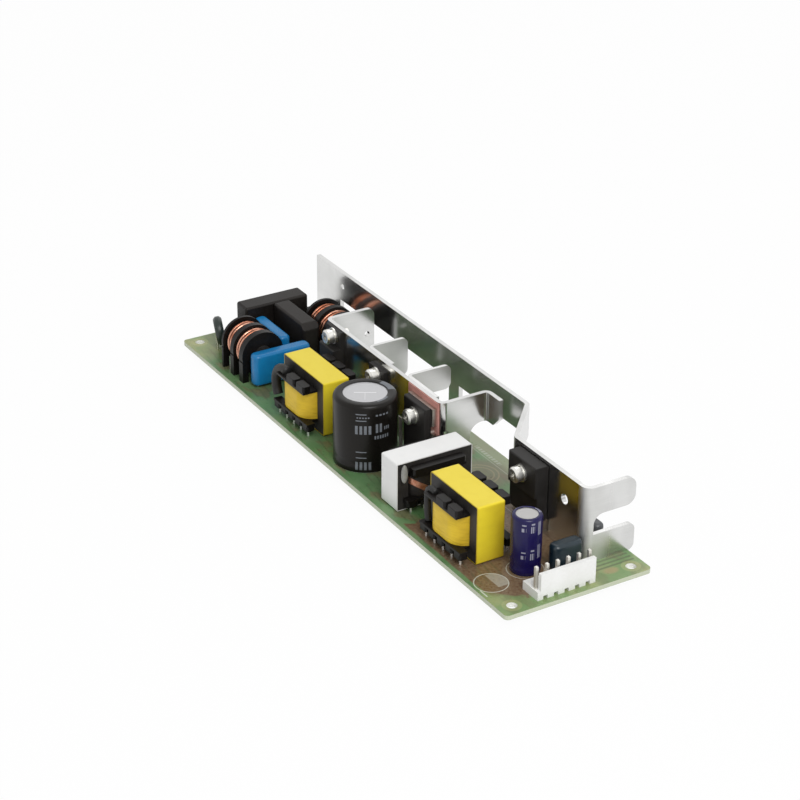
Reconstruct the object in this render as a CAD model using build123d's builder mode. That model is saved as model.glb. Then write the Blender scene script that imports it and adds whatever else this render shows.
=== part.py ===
from build123d import *
from math import cos, radians, sin
import os

# Open-frame switching power supply on a long narrow circuit board.
# Millimetres, +Z up.  X runs along the board to the output header, Y runs to
# the long heatsink.  The row frame has its origin at the middle of the
# bounding box floor.  Places below are given from the middle of the board
# top, and the plane makers move them into the row frame.

# Circuit board
board_length = 222.0
board_width = 55.0
board_thickness = 1.6
board_corner = 1.5
hole_inset_x = 4.5
hole_inset_y = 5.0
hole_radius = 1.75
lead_tail = 2.4
joint_radius = 1.05
tail_radius = 0.45
chip_length = 5.0
chip_width = 4.0
chip_height = 1.6
clearance = 0.1
input_end = -board_length / 2
output_end = board_length / 2
near_edge = -board_width / 2
far_edge = board_width / 2

# Output heatsink
sheet = 1.6
sink_bend = 2.6
output_sink_top = 26.9
sink_inset = 9.0
output_sink_start = input_end + sink_inset
band_face_y = far_edge - sheet
band_bottom = 15.5
far_leg_width = 18.0
far_leg_end = output_sink_start + far_leg_width
middle_leg_start = -7.0
middle_leg_end = -0.5
step_start = 40.5
step_end = 57.5
plate_face_y = 10.0
plate_foot_start = 56.0
flange_inset = 12.7
flange_face_x = output_end - flange_inset
prong_overhang = 1.9
upper_prong_short = 0.3
slot_bottom = 9.9
slot_top = 17.0
slot_inner_y = 13.2
slot_corner = 3.6
upper_tip = 3.5
lower_tip = 2.5
thread_hole_inset = 24.4
thread_hole_x = output_end - thread_hole_inset
thread_hole_z = 18.1
thread_hole_radius = 1.8
band_hole_inset = 19.6
band_hole_x = output_sink_start + band_hole_inset
band_hole_z = 21.3
band_hole_radius = 1.25

# Primary heatsink and its two clamped fins
primary_face_y = 1.6
primary_start = -52.3
primary_end = 26.0
primary_top = 26.5
primary_bend = 1.8
primary_lift = 2.0
primary_feet = (-46.0, -12.0, 20.0)
primary_foot_width = 6.0
far_tab_reach = 21.1
far_tab_bottom = 8.0
far_tab_corner = 2.5
far_tab_hole_y = 18.1
far_tab_hole_z = 16.8
far_tab_hole_radius = 1.0
front_tab_reach = 21.6
front_leg_inner = 5.0
front_leg_outer = 13.5
front_tab_bottom = 15.8
front_tab_arc = 4.5
lip_end = 33.6
lip_lower_corner = 3.4
fin_sheet = 1.2
fin_bend = 1.5
fin_bottom = 12.0
fin_places = ((-24.8, -8.4, 19.0, 12.0), (1.1, 20.6, 20.7, 17.5))
fin_corner = 2.4

# Screws, washers and the parts they clamp
screw_radius = 1.45
head_radius = 2.7
head_height = 2.0
head_edge = 0.6
recess_width = 0.7
recess_length = 2.6
recess_depth = 0.9
spring_washer_radius = 2.6
spring_washer_thickness = 0.9
spring_washer_split = 0.6
plain_washer_radius = 3.0
plain_washer_thickness = 0.6
screw_past_sheet = 1.6
small_device_width = 10.2
small_device_height = 15.8
small_tab_height = 6.4
small_tab_thickness = 1.4
small_body_thickness = 4.4
small_screw_drop = 2.9
large_device_width = 15.6
large_device_height = 20.0
large_body_thickness = 4.0
large_screw_drop = 4.8
tab_thickness = 1.6
notch_radius = 1.5
notch_drop = 8.0
rectifier_thickness = 4.7
rectifier_block_height = 11.0
rectifier_step = 0.9
lead_width = 1.1
lead_thickness = 0.6
small_lead_pitch = 2.54
large_lead_pitch = 5.45
pad_thickness = 0.3

# Wound parts on vertical bobbins
tape = 0.3
core_lift = 0.3
flange_thickness = 0.9
tooth_height = 3.0
tooth_gap = 1.3
tooth_pitch = 6.9
tooth_corner = 0.6
rail_depth = 3.2
rail_lift = 2.4
wound_pin_pitch = 5.1
wound_pin_gap = 1.0
pin_radius = 0.4
pin_sides = 6
lead_sleeve_radius = 1.4
lead_sleeve_sides = 8
lead_sleeve_swell = 2.4
hanging_sleeve_radius = 0.95
hanging_sleeve_bottom = 11.0
hanging_sleeve_top = 17.7

# Line chokes on lying drums
drum_radius = 8.4
drum_axis_z = 10.0
far_flange = 1.2
middle_flange = 2.4
near_flange = 2.8
far_band = 5.7
near_band = 4.5
drum_leg = 2.4
drum_leg_top = 8.0
drum_tube = 4.4
drum_core = 3.2
rod_end = 0.4
wire_inset = 0.5

# Capacitors
box_corner = 1.0
box_top_edge = 0.6
box_height = 16.5
bulk_radius = 11.0
bulk_height = 25.5
bulk_pitch = 10.0
bulk_opening = 7.6
output_can_radius = 5.0
output_can_height = 20.4
output_can_pitch = 5.0
output_can_opening = 3.6
sleeve = 0.3
rim_edge = 0.9
dipped_edge = 1.9
dipped_top_edge = 0.8
dipped_lift = 1.0
dipped_top = 13.0

# Pin headers
pin_pitch = 3.96
output_row = 19.8
input_row = 15.84
wall_trim = 1.1
header_pin = 1.0
header_pin_top = 11.0
header_base_height = 3.0
header_wall_height = 9.0
header_wall = 1.4
header_depth = 8.2
header_notch_width = 1.6
header_notch_height = 1.3
header_end = 0.95
pin_from_wall = 1.2
output_header_inset = 2.4
input_header_inset = 1.8

# Fuse
fuse_length = 9.0
fuse_width = 4.4
fuse_height = 8.0
fuse_pitch = 5.0

board_y = -prong_overhang / 2
board_top = lead_tail + board_thickness
joints = []
parts = {}


def level(x, y, z, turn=0):
    """A level plane over the board; turn swings its local x round from +X."""
    swing = (cos(radians(turn)), sin(radians(turn)), 0)
    return Plane((x, board_y + y, board_top + z), x_dir=swing, z_dir=(0, 0, 1))


def upright(x, y, z, turn=0):
    """An upright plane with local y up; untwisted it looks along -Y."""
    swing = (cos(radians(turn)), sin(radians(turn)), 0)
    out = (sin(radians(turn)), -cos(radians(turn)), 0)
    return Plane((x, board_y + y, board_top + z), x_dir=swing, z_dir=out)


def joint(x, y, turn=0, along=0, across=0):
    """Note a solder joint at a spot given in the swung frame of one part."""
    spot_x = x + along * cos(radians(turn)) - across * sin(radians(turn))
    spot_y = y + along * sin(radians(turn)) + across * cos(radians(turn))
    joints.append((spot_x, spot_y))


def tip_edges(body, reach):
    """Edges along X that lie at one Y, given from the middle of the board."""
    place = board_y + reach
    lying = body.edges().filter_by(Axis.X)
    return lying.filter_by(lambda edge: abs(edge.center().Y - place) < clearance / 2)


# Board with its four mounting holes
with BuildPart() as circuit_board:
    with BuildSketch(level(0, 0, -board_thickness)):
        RectangleRounded(board_length, board_width, board_corner)
        with GridLocations(board_length - 2 * hole_inset_x, board_width - 2 * hole_inset_y, 2, 2):
            Circle(hole_radius, mode=Mode.SUBTRACT)
    extrude(amount=board_thickness)
parts["circuit_board"] = circuit_board.part


# Where the four clamping screws sit: X and Z, the face they press on, thickness below
small_device_places = ((-43.9, 26.2), (-13.7, 23.5))
primary_transistor = (16.3, 24.2)
output_rectifier = (69.6, 25.6)
clamps = []
for place in small_device_places:
    clamps.append((place[0], place[1] - small_screw_drop, primary_face_y, small_tab_thickness))
clamps.append((
    primary_transistor[0],
    primary_transistor[1] - large_screw_drop,
    primary_face_y,
    pad_thickness + large_body_thickness,
))
clamps.append((
    output_rectifier[0],
    output_rectifier[1] - large_screw_drop,
    plate_face_y,
    pad_thickness + rectifier_thickness,
))


# Output heatsink, one bent sheet with a forked flange at the header end
band_middle = band_face_y + sheet / 2
plate_middle = plate_face_y + sheet / 2
flange_middle = flange_face_x - sheet / 2
prong_end = board_width / 2 + prong_overhang
with BuildPart() as output_heatsink:
    with BuildSketch(level(0, 0, 0)):
        with BuildLine():
            FilletPolyline(
                (output_sink_start, band_middle),
                (step_start, band_middle),
                (step_end, plate_middle),
                (flange_middle, plate_middle),
                (flange_middle, prong_end),
                radius=sink_bend,
            )
        trace(line_width=sheet)
    extrude(amount=output_sink_top)
    # The openings between the legs, looking at the long side
    with BuildSketch(upright(0, band_face_y + 2 * sheet, 0)):
        with Locations(((far_leg_end + middle_leg_start) / 2, band_bottom / 2)):
            Rectangle(middle_leg_start - far_leg_end, band_bottom)
        with Locations(((middle_leg_end + plate_foot_start) / 2, band_bottom / 2)):
            Rectangle(plate_foot_start - middle_leg_end, band_bottom)
        with Locations((band_hole_x, band_hole_z)):
            Circle(band_hole_radius)
    extrude(amount=board_width / 3, mode=Mode.SUBTRACT)
    # The threaded hole beside the output rectifier
    with BuildSketch(upright(thread_hole_x, plate_middle + sheet, thread_hole_z)):
        Circle(thread_hole_radius)
    extrude(amount=2 * sheet, mode=Mode.SUBTRACT)
    with BuildSketch(upright(clamps[3][0], plate_middle + sheet, clamps[3][1])):
        Circle(screw_radius + clearance)
    extrude(amount=2 * sheet, mode=Mode.SUBTRACT)
    # The slot between the two prongs, and the shorter upper prong
    with BuildSketch(upright(flange_face_x + sheet, 0, 0, turn=90)) as slot:
        with Locations(((slot_inner_y + prong_end + sheet) / 2, (slot_bottom + slot_top) / 2)):
            Rectangle(prong_end + sheet - slot_inner_y, slot_top - slot_bottom)
        fillet(slot.vertices().group_by(Axis.X)[0].sort_by(Axis.Y)[-1], slot_corner)
        with Locations((prong_end - upper_prong_short + sheet / 2, (slot_top + output_sink_top) / 2)):
            Rectangle(sheet, output_sink_top - slot_top)
    extrude(amount=-3 * sheet, mode=Mode.SUBTRACT)
    fillet(tip_edges(output_heatsink, prong_end), lower_tip)
    fillet(tip_edges(output_heatsink, prong_end - upper_prong_short), upper_tip)
parts["output_heatsink"] = output_heatsink.part


# Primary heatsink, one bent sheet with a tab at each end and a lip
primary_middle = primary_face_y + sheet / 2
far_tab_middle = primary_start + sheet / 2
front_tab_middle = primary_end - sheet / 2
lip_middle = front_tab_reach - sheet / 2
with BuildPart() as primary_heatsink:
    with BuildSketch(level(0, 0, 0)):
        with BuildLine():
            FilletPolyline(
                (far_tab_middle, far_tab_reach),
                (far_tab_middle, primary_middle),
                (front_tab_middle, primary_middle),
                (front_tab_middle, lip_middle),
                (lip_end, lip_middle),
                radius=primary_bend,
            )
        trace(line_width=sheet)
    extrude(amount=primary_top)
    # Lower edge of the plate between its feet, and the clamping screw holes
    with BuildSketch(upright(0, primary_face_y + 2 * sheet, 0)):
        plate_length = primary_end - primary_start - 2 * sheet
        with Locations(((primary_start + primary_end) / 2, primary_lift / 2)):
            Rectangle(plate_length, primary_lift)
        for foot_x in primary_feet:
            with Locations((foot_x, primary_lift / 2)):
                Rectangle(primary_foot_width, primary_lift, mode=Mode.SUBTRACT)
    extrude(amount=3 * sheet, mode=Mode.SUBTRACT)
    # Far tab: lower edge, rounded corner, small hole
    with BuildSketch(upright(primary_start + 2 * sheet, 0, 0, turn=90)):
        with Locations(((primary_face_y + sheet + far_tab_reach + sheet) / 2, far_tab_bottom / 2)):
            Rectangle(far_tab_reach - primary_face_y, far_tab_bottom)
        with Locations((far_tab_hole_y, far_tab_hole_z)):
            Circle(far_tab_hole_radius)
    extrude(amount=-4 * sheet, mode=Mode.SUBTRACT)
    # Front tab: a leg to the board, cut away under the lip with a round inner corner
    with BuildSketch(upright(lip_end + sheet, 0, 0, turn=90)) as under_lip:
        cut_width = front_tab_reach + sheet - front_leg_outer
        with Locations((front_leg_outer + cut_width / 2, front_tab_bottom / 2)):
            Rectangle(cut_width, front_tab_bottom)
        fillet(under_lip.vertices().group_by(Axis.X)[0].sort_by(Axis.Y)[-1], front_tab_arc)
        with Locations(((primary_face_y + sheet + front_leg_inner) / 2, front_tab_bottom / 2)):
            Rectangle(front_leg_inner - primary_face_y - sheet, front_tab_bottom)
    extrude(amount=primary_end - 2 * sheet - lip_end - sheet, mode=Mode.SUBTRACT)
    fillet(tip_edges(primary_heatsink, far_tab_reach), far_tab_corner)
    # Lip corners
    with BuildSketch(upright(lip_end, front_tab_reach - 2 * sheet, 0)):
        with BuildLine():
            Polyline(
                (sheet, front_tab_bottom - sheet),
                (sheet, front_tab_bottom + lip_lower_corner + sheet),
                (-lip_lower_corner - sheet, front_tab_bottom - sheet),
                close=True,
            )
        make_face()
    extrude(amount=-3 * sheet, mode=Mode.SUBTRACT)
    # Clamping holes
    for place in clamps[:3]:
        with BuildSketch(upright(place[0], primary_face_y + 2 * sheet, place[1])):
            Circle(screw_radius + clearance)
        extrude(amount=3 * sheet, mode=Mode.SUBTRACT)
parts["primary_heatsink"] = primary_heatsink.part


# Two bent fins clamped behind the primary plate
for index, (fin_x, foot_end, reach, free_bottom) in enumerate(fin_places):
    back = primary_face_y + sheet + fin_sheet / 2
    with BuildPart() as fin:
        with BuildSketch(level(0, 0, fin_bottom)):
            with BuildLine():
                FilletPolyline(
                    (foot_end, back),
                    (fin_x + fin_sheet / 2, back),
                    (fin_x + fin_sheet / 2, reach),
                    radius=fin_bend,
                )
            trace(line_width=fin_sheet)
        extrude(amount=primary_top - fin_bottom)
        with BuildSketch(upright(clamps[index + 1][0], back + fin_sheet, clamps[index + 1][1])):
            Circle(screw_radius + clearance)
        extrude(amount=2 * fin_sheet, mode=Mode.SUBTRACT)
        if free_bottom > fin_bottom:
            with BuildSketch(upright(fin_x - fin_sheet, 0, 0, turn=90)):
                start = back + fin_bend + fin_sheet
                with Locations(((start + reach + fin_sheet) / 2, (fin_bottom + free_bottom) / 2)):
                    Rectangle(reach + fin_sheet - start, free_bottom - fin_bottom)
            extrude(amount=3 * fin_sheet, mode=Mode.SUBTRACT)
        fillet(tip_edges(fin, reach), fin_corner)
    parts[f"clamped_fin_{index + 1}"] = fin.part


# Clamping screws with their split and plain washers
def clamping_screw(x, z, face_y, grip):
    """Pan head with a cross recess and a plain shank through the clamped stack."""
    under_head = face_y - grip - plain_washer_thickness - spring_washer_thickness
    with BuildPart() as screw:
        with BuildSketch(upright(x, under_head, z)):
            Circle(head_radius)
        extrude(amount=head_height)
        chamfer(screw.edges().filter_by(GeomType.CIRCLE).sort_by(Axis.Y)[0], head_edge)
        with BuildSketch(upright(x, under_head - head_height + recess_depth, z)):
            Rectangle(recess_length, recess_width, rotation=45)
            Rectangle(recess_length, recess_width, rotation=-45)
        extrude(amount=recess_depth, mode=Mode.SUBTRACT)
        with BuildSketch(upright(x, under_head, z)):
            Circle(screw_radius)
        extrude(amount=under_head - face_y - sheet - fin_sheet - screw_past_sheet)
    return screw.part


with BuildPart() as screws:
    for clamp in clamps:
        add(clamping_screw(*clamp))
parts["clamping_screws"] = screws.part

with BuildPart() as spring_washers:
    for x, z, face_y, grip in clamps:
        with BuildSketch(upright(x, face_y - grip - plain_washer_thickness, z)):
            Circle(spring_washer_radius)
            Circle(screw_radius + clearance, mode=Mode.SUBTRACT)
            with Locations((0, spring_washer_radius)):
                Rectangle(spring_washer_split, spring_washer_radius, mode=Mode.SUBTRACT)
        extrude(amount=spring_washer_thickness)
parts["spring_washers"] = spring_washers.part

with BuildPart() as plain_washers:
    for x, z, face_y, grip in clamps:
        with BuildSketch(upright(x, face_y - grip, z)):
            Circle(plain_washer_radius)
            Circle(screw_radius + clearance, mode=Mode.SUBTRACT)
        extrude(amount=plain_washer_thickness)
parts["plain_washers"] = plain_washers.part


# Two small moulded devices, a stepped body each
def small_device(x, top):
    """Moulded body with a thin mounting end that the screw goes through."""
    with BuildPart() as body:
        with BuildSketch(upright(x, primary_face_y, top - small_device_height / 2)):
            Rectangle(small_device_width, small_device_height)
            with Locations((0, small_device_height / 2 - small_screw_drop)):
                Circle(screw_radius + clearance, mode=Mode.SUBTRACT)
        extrude(amount=small_tab_thickness)
        lower = small_device_height - small_tab_height
        with BuildSketch(upright(x, primary_face_y, top - small_tab_height - lower / 2)):
            Rectangle(small_device_width, lower)
        extrude(amount=small_body_thickness)
        front = body.faces().sort_by(Axis.Y)[0]
        chamfer(front.edges(), tape)
    return body.part


for index, (x, top) in enumerate(small_device_places):
    parts[f"small_device_{index + 1}"] = small_device(x, top)


# The two large moulded devices: one with a bare metal back, one moulded all round
def device_slab(x, start_y, top, width, height, depth, notched):
    """One layer of a device with the screw hole and, on a metal back, side notches."""
    with BuildPart() as slab:
        with BuildSketch(upright(x, start_y, top)):
            with Locations((0, -height / 2)):
                Rectangle(width, height)
            if notched:
                with Locations((-width / 2, -notch_drop), (width / 2, -notch_drop)):
                    Circle(notch_radius, mode=Mode.SUBTRACT)
            with Locations((0, -large_screw_drop)):
                Circle(screw_radius + clearance, mode=Mode.SUBTRACT)
        extrude(amount=depth)
        if not notched:
            chamfer(slab.faces().sort_by(Axis.Y)[0].outer_wire().edges(), tape)
    return slab.part


transistor_x, transistor_top = primary_transistor
back_y = primary_face_y - pad_thickness
parts["primary_transistor_back"] = device_slab(
    transistor_x, back_y, transistor_top, large_device_width, large_device_height, tab_thickness, True
)
body_drop = tab_thickness / 2
parts["primary_transistor_body"] = device_slab(
    transistor_x,
    back_y - tab_thickness,
    transistor_top,
    large_device_width - 2 * body_drop,
    large_device_height,
    large_body_thickness - tab_thickness,
    False,
)

rectifier_x, rectifier_top = output_rectifier
rectifier_slab = device_slab(
    rectifier_x,
    plate_face_y - pad_thickness,
    rectifier_top,
    large_device_width,
    large_device_height,
    rectifier_thickness,
    False,
)
with BuildPart() as rectifier:
    add(rectifier_slab)
    step_y = plate_face_y - pad_thickness - rectifier_thickness + rectifier_step
    with BuildSketch(upright(rectifier_x, step_y, rectifier_top)):
        lower = large_device_height - rectifier_block_height
        with Locations((0, -rectifier_block_height - lower / 2)):
            Rectangle(2 * large_device_width, lower)
    extrude(amount=2 * rectifier_step, mode=Mode.SUBTRACT)
parts["output_rectifier_body"] = rectifier.part

# Insulating pads behind them
for name, place, face_y, pad_start, pad_end, pad_bottom, pad_top in (
    ("primary_transistor", primary_transistor, primary_face_y, 5.9, 25.2, primary_lift, 26.2),
    ("output_rectifier", output_rectifier, plate_face_y, 62.3, 76.9, 6.1, 25.1),
):
    with BuildPart() as pad:
        with BuildSketch(upright(place[0], face_y, place[1] - large_screw_drop)):
            pad_x = (pad_start + pad_end) / 2 - place[0]
            pad_z = (pad_bottom + pad_top) / 2 - place[1] + large_screw_drop
            with Locations((pad_x, pad_z)):
                Rectangle(pad_end - pad_start, pad_top - pad_bottom)
            Circle(screw_radius + clearance, mode=Mode.SUBTRACT)
        extrude(amount=pad_thickness)
    parts[f"{name}_pad"] = pad.part

# Flat legs of all four devices down to the board
device_legs = []
for x, top in small_device_places:
    leg_y = primary_face_y - small_body_thickness / 2
    device_legs.append((x, leg_y, top - small_device_height, small_lead_pitch))
for (x, top), face_y in ((primary_transistor, primary_face_y), (output_rectifier, plate_face_y)):
    leg_y = face_y - pad_thickness - tab_thickness - lead_thickness
    device_legs.append((x, leg_y, top - large_device_height, large_lead_pitch))
with BuildPart() as device_leads:
    for x, y, bottom, pitch in device_legs:
        for step in (-1, 0, 1):
            with BuildSketch(level(x + step * pitch, y, 0)):
                Rectangle(lead_width, lead_thickness)
            extrude(amount=bottom)
            joint(x + step * pitch, y)
parts["device_leads"] = device_leads.part


# Wound part: two-window core, tape band, toothed bobbin, coil and pins
def block_rows(x, y, turn, bottom, height, pitch, gap, length, rail_y, left_out):
    """Two rows of blocks along the rails; the near row goes without the first few."""
    count = round((length + gap) / pitch)
    width = (length + gap) / count - gap
    spots = []
    for row in (-1, 1):
        for step in range(count):
            if row == 1 or step >= left_out:
                spots.append(((step - (count - 1) / 2) * (width + gap), row * rail_y))
    with BuildPart() as rows:
        with BuildSketch(level(x, y, bottom, turn)) as blocks:
            with Locations(*spots):
                Rectangle(width, rail_depth)
            chamfer(blocks.vertices(), tooth_corner)
        extrude(amount=height)
    return rows.part


def wound_part(x, y, turn, length, depth, height, bulge, limb, yoke, pitch, left_out):
    """Core with its windows in the length direction and the coil on an upright limb."""
    core_top = core_lift + tape + height
    window_bottom = core_lift + tape + yoke
    window_top = core_top - yoke
    window_height = window_top - window_bottom
    window_width = (length - 2 * limb) / 2
    with BuildPart() as core:
        with BuildSketch(upright(x, y, core_lift + tape + height / 2, turn)):
            Rectangle(length, height)
            with GridLocations(limb + window_width, 0, 2, 1):
                Rectangle(window_width, window_height, mode=Mode.SUBTRACT)
        extrude(amount=depth / 2, both=True)
    with BuildPart() as band:
        with BuildSketch(upright(x, y, core_lift + tape + height / 2, turn)):
            RectangleRounded(length + 2 * tape, height + 2 * tape, 2 * tape)
            Rectangle(length, height, mode=Mode.SUBTRACT)
        extrude(amount=depth / 2, both=True)
    # Bobbin: a tube round the middle limb, two flanges, blocks outside the core
    inner_x = limb + 2 * window_width - 2 * clearance
    reach = depth + 2 * bulge
    rail_y = depth / 2 + bulge - rail_depth / 2
    tube_x = limb + 2 * clearance + 2 * flange_thickness
    tube_y = depth + 2 * clearance + 2 * flange_thickness
    flange_top = window_top - clearance
    top_bottom = flange_top - flange_thickness
    top_rows = block_rows(x, y, turn, top_bottom, tooth_height, pitch, tooth_gap, inner_x, rail_y, left_out)
    block_height = window_bottom + clearance + flange_thickness - rail_lift
    pin_count = int(length / wound_pin_pitch)
    pin_rail = pin_count * wound_pin_pitch - wound_pin_gap
    pin_rows = block_rows(
        x, y, turn, rail_lift, block_height, wound_pin_pitch, wound_pin_gap, pin_rail, rail_y, 0
    )
    with BuildPart() as bobbin:
        add(top_rows)
        add(pin_rows)
        for bottom in (window_bottom + clearance, flange_top - flange_thickness):
            with BuildSketch(level(x, y, bottom, turn)):
                Rectangle(inner_x, reach)
                Rectangle(limb + 2 * clearance, depth + 2 * clearance, mode=Mode.SUBTRACT)
            extrude(amount=flange_thickness)
        with BuildSketch(level(x, y, window_bottom + clearance, turn)):
            Rectangle(tube_x, tube_y)
            Rectangle(limb + 2 * clearance, depth + 2 * clearance, mode=Mode.SUBTRACT)
        extrude(amount=window_height - 2 * clearance)
        # A web joins the blocks of each row to the flange above them
        with BuildSketch(level(x, y, window_bottom + clearance, turn)):
            with GridLocations(0, 2 * rail_y, 1, 2):
                Rectangle(pin_rail, rail_depth)
        extrude(amount=flange_thickness)
    coil_bottom = window_bottom + clearance + flange_thickness
    coil_height = window_height - 2 * clearance - 2 * flange_thickness
    with BuildPart() as coil:
        with BuildSketch(level(x, y, coil_bottom, turn)):
            coil_x = inner_x - clearance
            RectangleRounded(coil_x, reach - tooth_gap, coil_x / 3)
            Rectangle(tube_x, tube_y, mode=Mode.SUBTRACT)
        extrude(amount=coil_height)
    with BuildPart() as pins:
        with BuildSketch(level(x, y, 0, turn)):
            with GridLocations(wound_pin_pitch, 2 * rail_y, pin_count, 2):
                RegularPolygon(pin_radius, pin_sides)
        extrude(amount=rail_lift)
    for row in (-1, 1):
        for step in range(pin_count):
            joint(x, y, turn, (step - (pin_count - 1) / 2) * wound_pin_pitch, row * rail_y)
    return {
        "core": core.part,
        "tape": band.part,
        "bobbin": bobbin.part,
        "coil": coil.part,
        "pins": pins.part,
    }


smooth_ledge = 21.5
wound_places = {
    "boost_choke": (-30.9, -14.1, 0, 27.7, 10.2, 19.7, 5.6, 8.0, 3.6, tooth_pitch, 1),
    "main_transformer": (35.7, -9.5, 90, 28.4, 9.9, 16.9, 3.4, 8.0, 3.4, smooth_ledge, 0),
    "output_choke": (68.1, -14.5, 0, 27.0, 10.3, 20.1, 5.2, 7.6, 3.6, tooth_pitch, 1),
}
for name, place in wound_places.items():
    for role, piece in wound_part(*place).items():
        parts[f"{name}_{role}"] = piece


# Sleeved leads: two swing over the end of a choke, one hangs by the transformer
def swinging_sleeve(x, y, length, depth, height, bulge, limb, yoke):
    """Tube that lies on the top flange, swells out past its end and drops on the first pin block."""
    row_y = board_y + y - depth / 2 - bulge + rail_depth / 2
    flange_end = x - (length - limb) / 2 + clearance
    high = board_top + core_lift + tape + height - yoke - clearance / 2 + lead_sleeve_radius
    low = board_top + core_lift + tape + yoke + clearance + flange_thickness
    pin_rail = int(length / wound_pin_pitch) * wound_pin_pitch - wound_pin_gap
    end_x = x - pin_rail / 2 + lead_sleeve_radius
    with BuildPart() as tube:
        with BuildLine() as route:
            lying = Line(
                (flange_end + tooth_pitch - tooth_gap, row_y, high),
                (flange_end + lead_sleeve_radius, row_y, high),
            )
            Spline(
                lying @ 1,
                (end_x - lead_sleeve_swell, row_y, (high + low) / 2),
                (end_x, row_y, low),
                tangents=(lying % 1, (0, 0, -1)),
            )
        with BuildSketch(Plane(origin=lying @ 0, z_dir=lying % 0)):
            RegularPolygon(lead_sleeve_radius, lead_sleeve_sides)
        sweep(path=route.line)
    return tube.part


with BuildPart() as sleeved_leads:
    for name in ("boost_choke", "output_choke"):
        x, y, turn, length, depth, height, bulge, limb, yoke, pitch, left_out = wound_places[name]
        add(swinging_sleeve(x, y, length, depth, height, bulge, limb, yoke))
    x, y, turn, length, depth, height, bulge, limb, yoke, pitch, left_out = wound_places["main_transformer"]
    hang_x = x + depth / 2 + hanging_sleeve_radius
    hang_y = y - length / 2 + limb / 4
    with BuildSketch(level(hang_x, hang_y, hanging_sleeve_bottom)):
        Circle(hanging_sleeve_radius)
    extrude(amount=hanging_sleeve_top - hanging_sleeve_bottom)
parts["sleeved_leads"] = sleeved_leads.part


# Line choke: lying drum with three flanges on legs, two bands of wire, rod core
def line_choke(x, y):
    """Drum on a level axis along X that stands on the legs of its flanges."""
    drum_length = far_flange + far_band + middle_flange + near_band + near_flange
    far_face = x - drum_length / 2
    middle_face = far_face + far_flange + far_band
    near_face = x + drum_length / 2 - near_flange
    flanges = ((far_face, far_flange), (middle_face, middle_flange), (near_face, near_flange))
    leg_y = drum_radius - drum_leg / 2
    leg_z = drum_leg_top / 2 - drum_axis_z
    with BuildPart() as drum:
        for flange_x, thickness in flanges:
            with BuildSketch(upright(flange_x, y, drum_axis_z, turn=90)):
                Circle(drum_radius)
                Circle(drum_core + clearance, mode=Mode.SUBTRACT)
                with Locations((-leg_y, leg_z), (leg_y, leg_z)):
                    Rectangle(drum_leg, drum_leg_top)
            extrude(amount=thickness)
        with BuildSketch(upright(far_face, y, drum_axis_z, turn=90)):
            Circle(drum_tube)
            Circle(drum_core + clearance, mode=Mode.SUBTRACT)
        extrude(amount=drum_length)
    with BuildPart() as rod:
        with BuildSketch(upright(far_face - rod_end, y, drum_axis_z, turn=90)):
            Circle(drum_core)
        extrude(amount=drum_length + 2 * rod_end)
    with BuildPart() as bands:
        for start, width in ((far_face + far_flange, far_band), (middle_face + middle_flange, near_band)):
            with BuildSketch(upright(start, y, drum_axis_z, turn=90)):
                Circle(drum_radius - wire_inset)
                Circle(drum_tube, mode=Mode.SUBTRACT)
            extrude(amount=width)
    for flange_x, thickness in flanges:
        for side in (-1, 1):
            joint(flange_x + thickness / 2, y + side * leg_y)
    return {"bobbin": drum.part, "rod": rod.part, "winding": bands.part}


line_choke_places = {
    "line_choke_1": (input_end + 35.1, near_edge + 11.5),
    "line_choke_2": (input_end + 36.8, far_edge - 10.3),
}
for name, (x, y) in line_choke_places.items():
    for role, piece in line_choke(x, y).items():
        parts[f"{name}_{role}"] = piece


# Box capacitors
def box_capacitor(x, y, length, width, nose):
    """Moulded box; the nose is the slope cut from its top at the +X end."""
    with BuildPart() as case:
        with BuildSketch(level(x, y, 0)):
            RectangleRounded(length, width, box_corner)
        extrude(amount=box_height)
        chamfer(case.faces().sort_by(Axis.Z)[-1].edges(), box_top_edge)
        if nose:
            with BuildSketch(upright(x + length / 2, y, box_height)):
                with BuildLine():
                    Polyline((nose, nose), (nose, -2 * nose), (-2 * nose, nose), close=True)
                make_face()
            extrude(amount=width, both=True, mode=Mode.SUBTRACT)
    return case.part


line_capacitor_1 = (input_end + 14.6, 3.4, 8.0, 26.4, 0)
line_capacitor_2 = (input_end + 30.7, 4.9, 23.5, 6.8, 2.2)
box_pitch = 15.0
parts["line_capacitor_1"] = box_capacitor(*line_capacitor_1)
parts["line_capacitor_2"] = box_capacitor(*line_capacitor_2)
for side in (-1, 1):
    joint(line_capacitor_1[0], line_capacitor_1[1] + side * box_pitch / 2)
    joint(line_capacitor_2[0] + side * box_pitch / 2, line_capacitor_2[1])


# Dipped capacitors, bodies with all edges rounded, and a leaning disc
def dipped_capacitor(x, y, turn, length, thickness, bottom, top):
    """Rounded coated block."""
    with BuildPart() as coat:
        with BuildSketch(level(x, y, bottom, turn)):
            RectangleRounded(length, thickness, dipped_edge)
        extrude(amount=top - bottom)
        chamfer(coat.faces().sort_by(Axis.Z)[-1].edges(), dipped_top_edge)
        chamfer(coat.faces().sort_by(Axis.Z)[0].edges(), dipped_top_edge / 2)
    return coat.part


dipped_places = {
    "film_capacitor_1": (input_end + 30.0, -5.0, 0, 21.0, 4.8, dipped_lift, dipped_top),
    "film_capacitor_2": (input_end + 47.8, -11.1, 90, 23.2, 5.0, dipped_lift, dipped_top),
    "film_capacitor_3": (output_end - 14.8, 4.3, 90, 11.0, 4.8, dipped_lift / 2, 9.6),
    "film_capacitor_4": (output_end - 19.0, 18.6, 0, 6.0, 4.0, dipped_lift / 2, 10.4),
}
for name, place in dipped_places.items():
    parts[name] = dipped_capacitor(*place)

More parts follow.
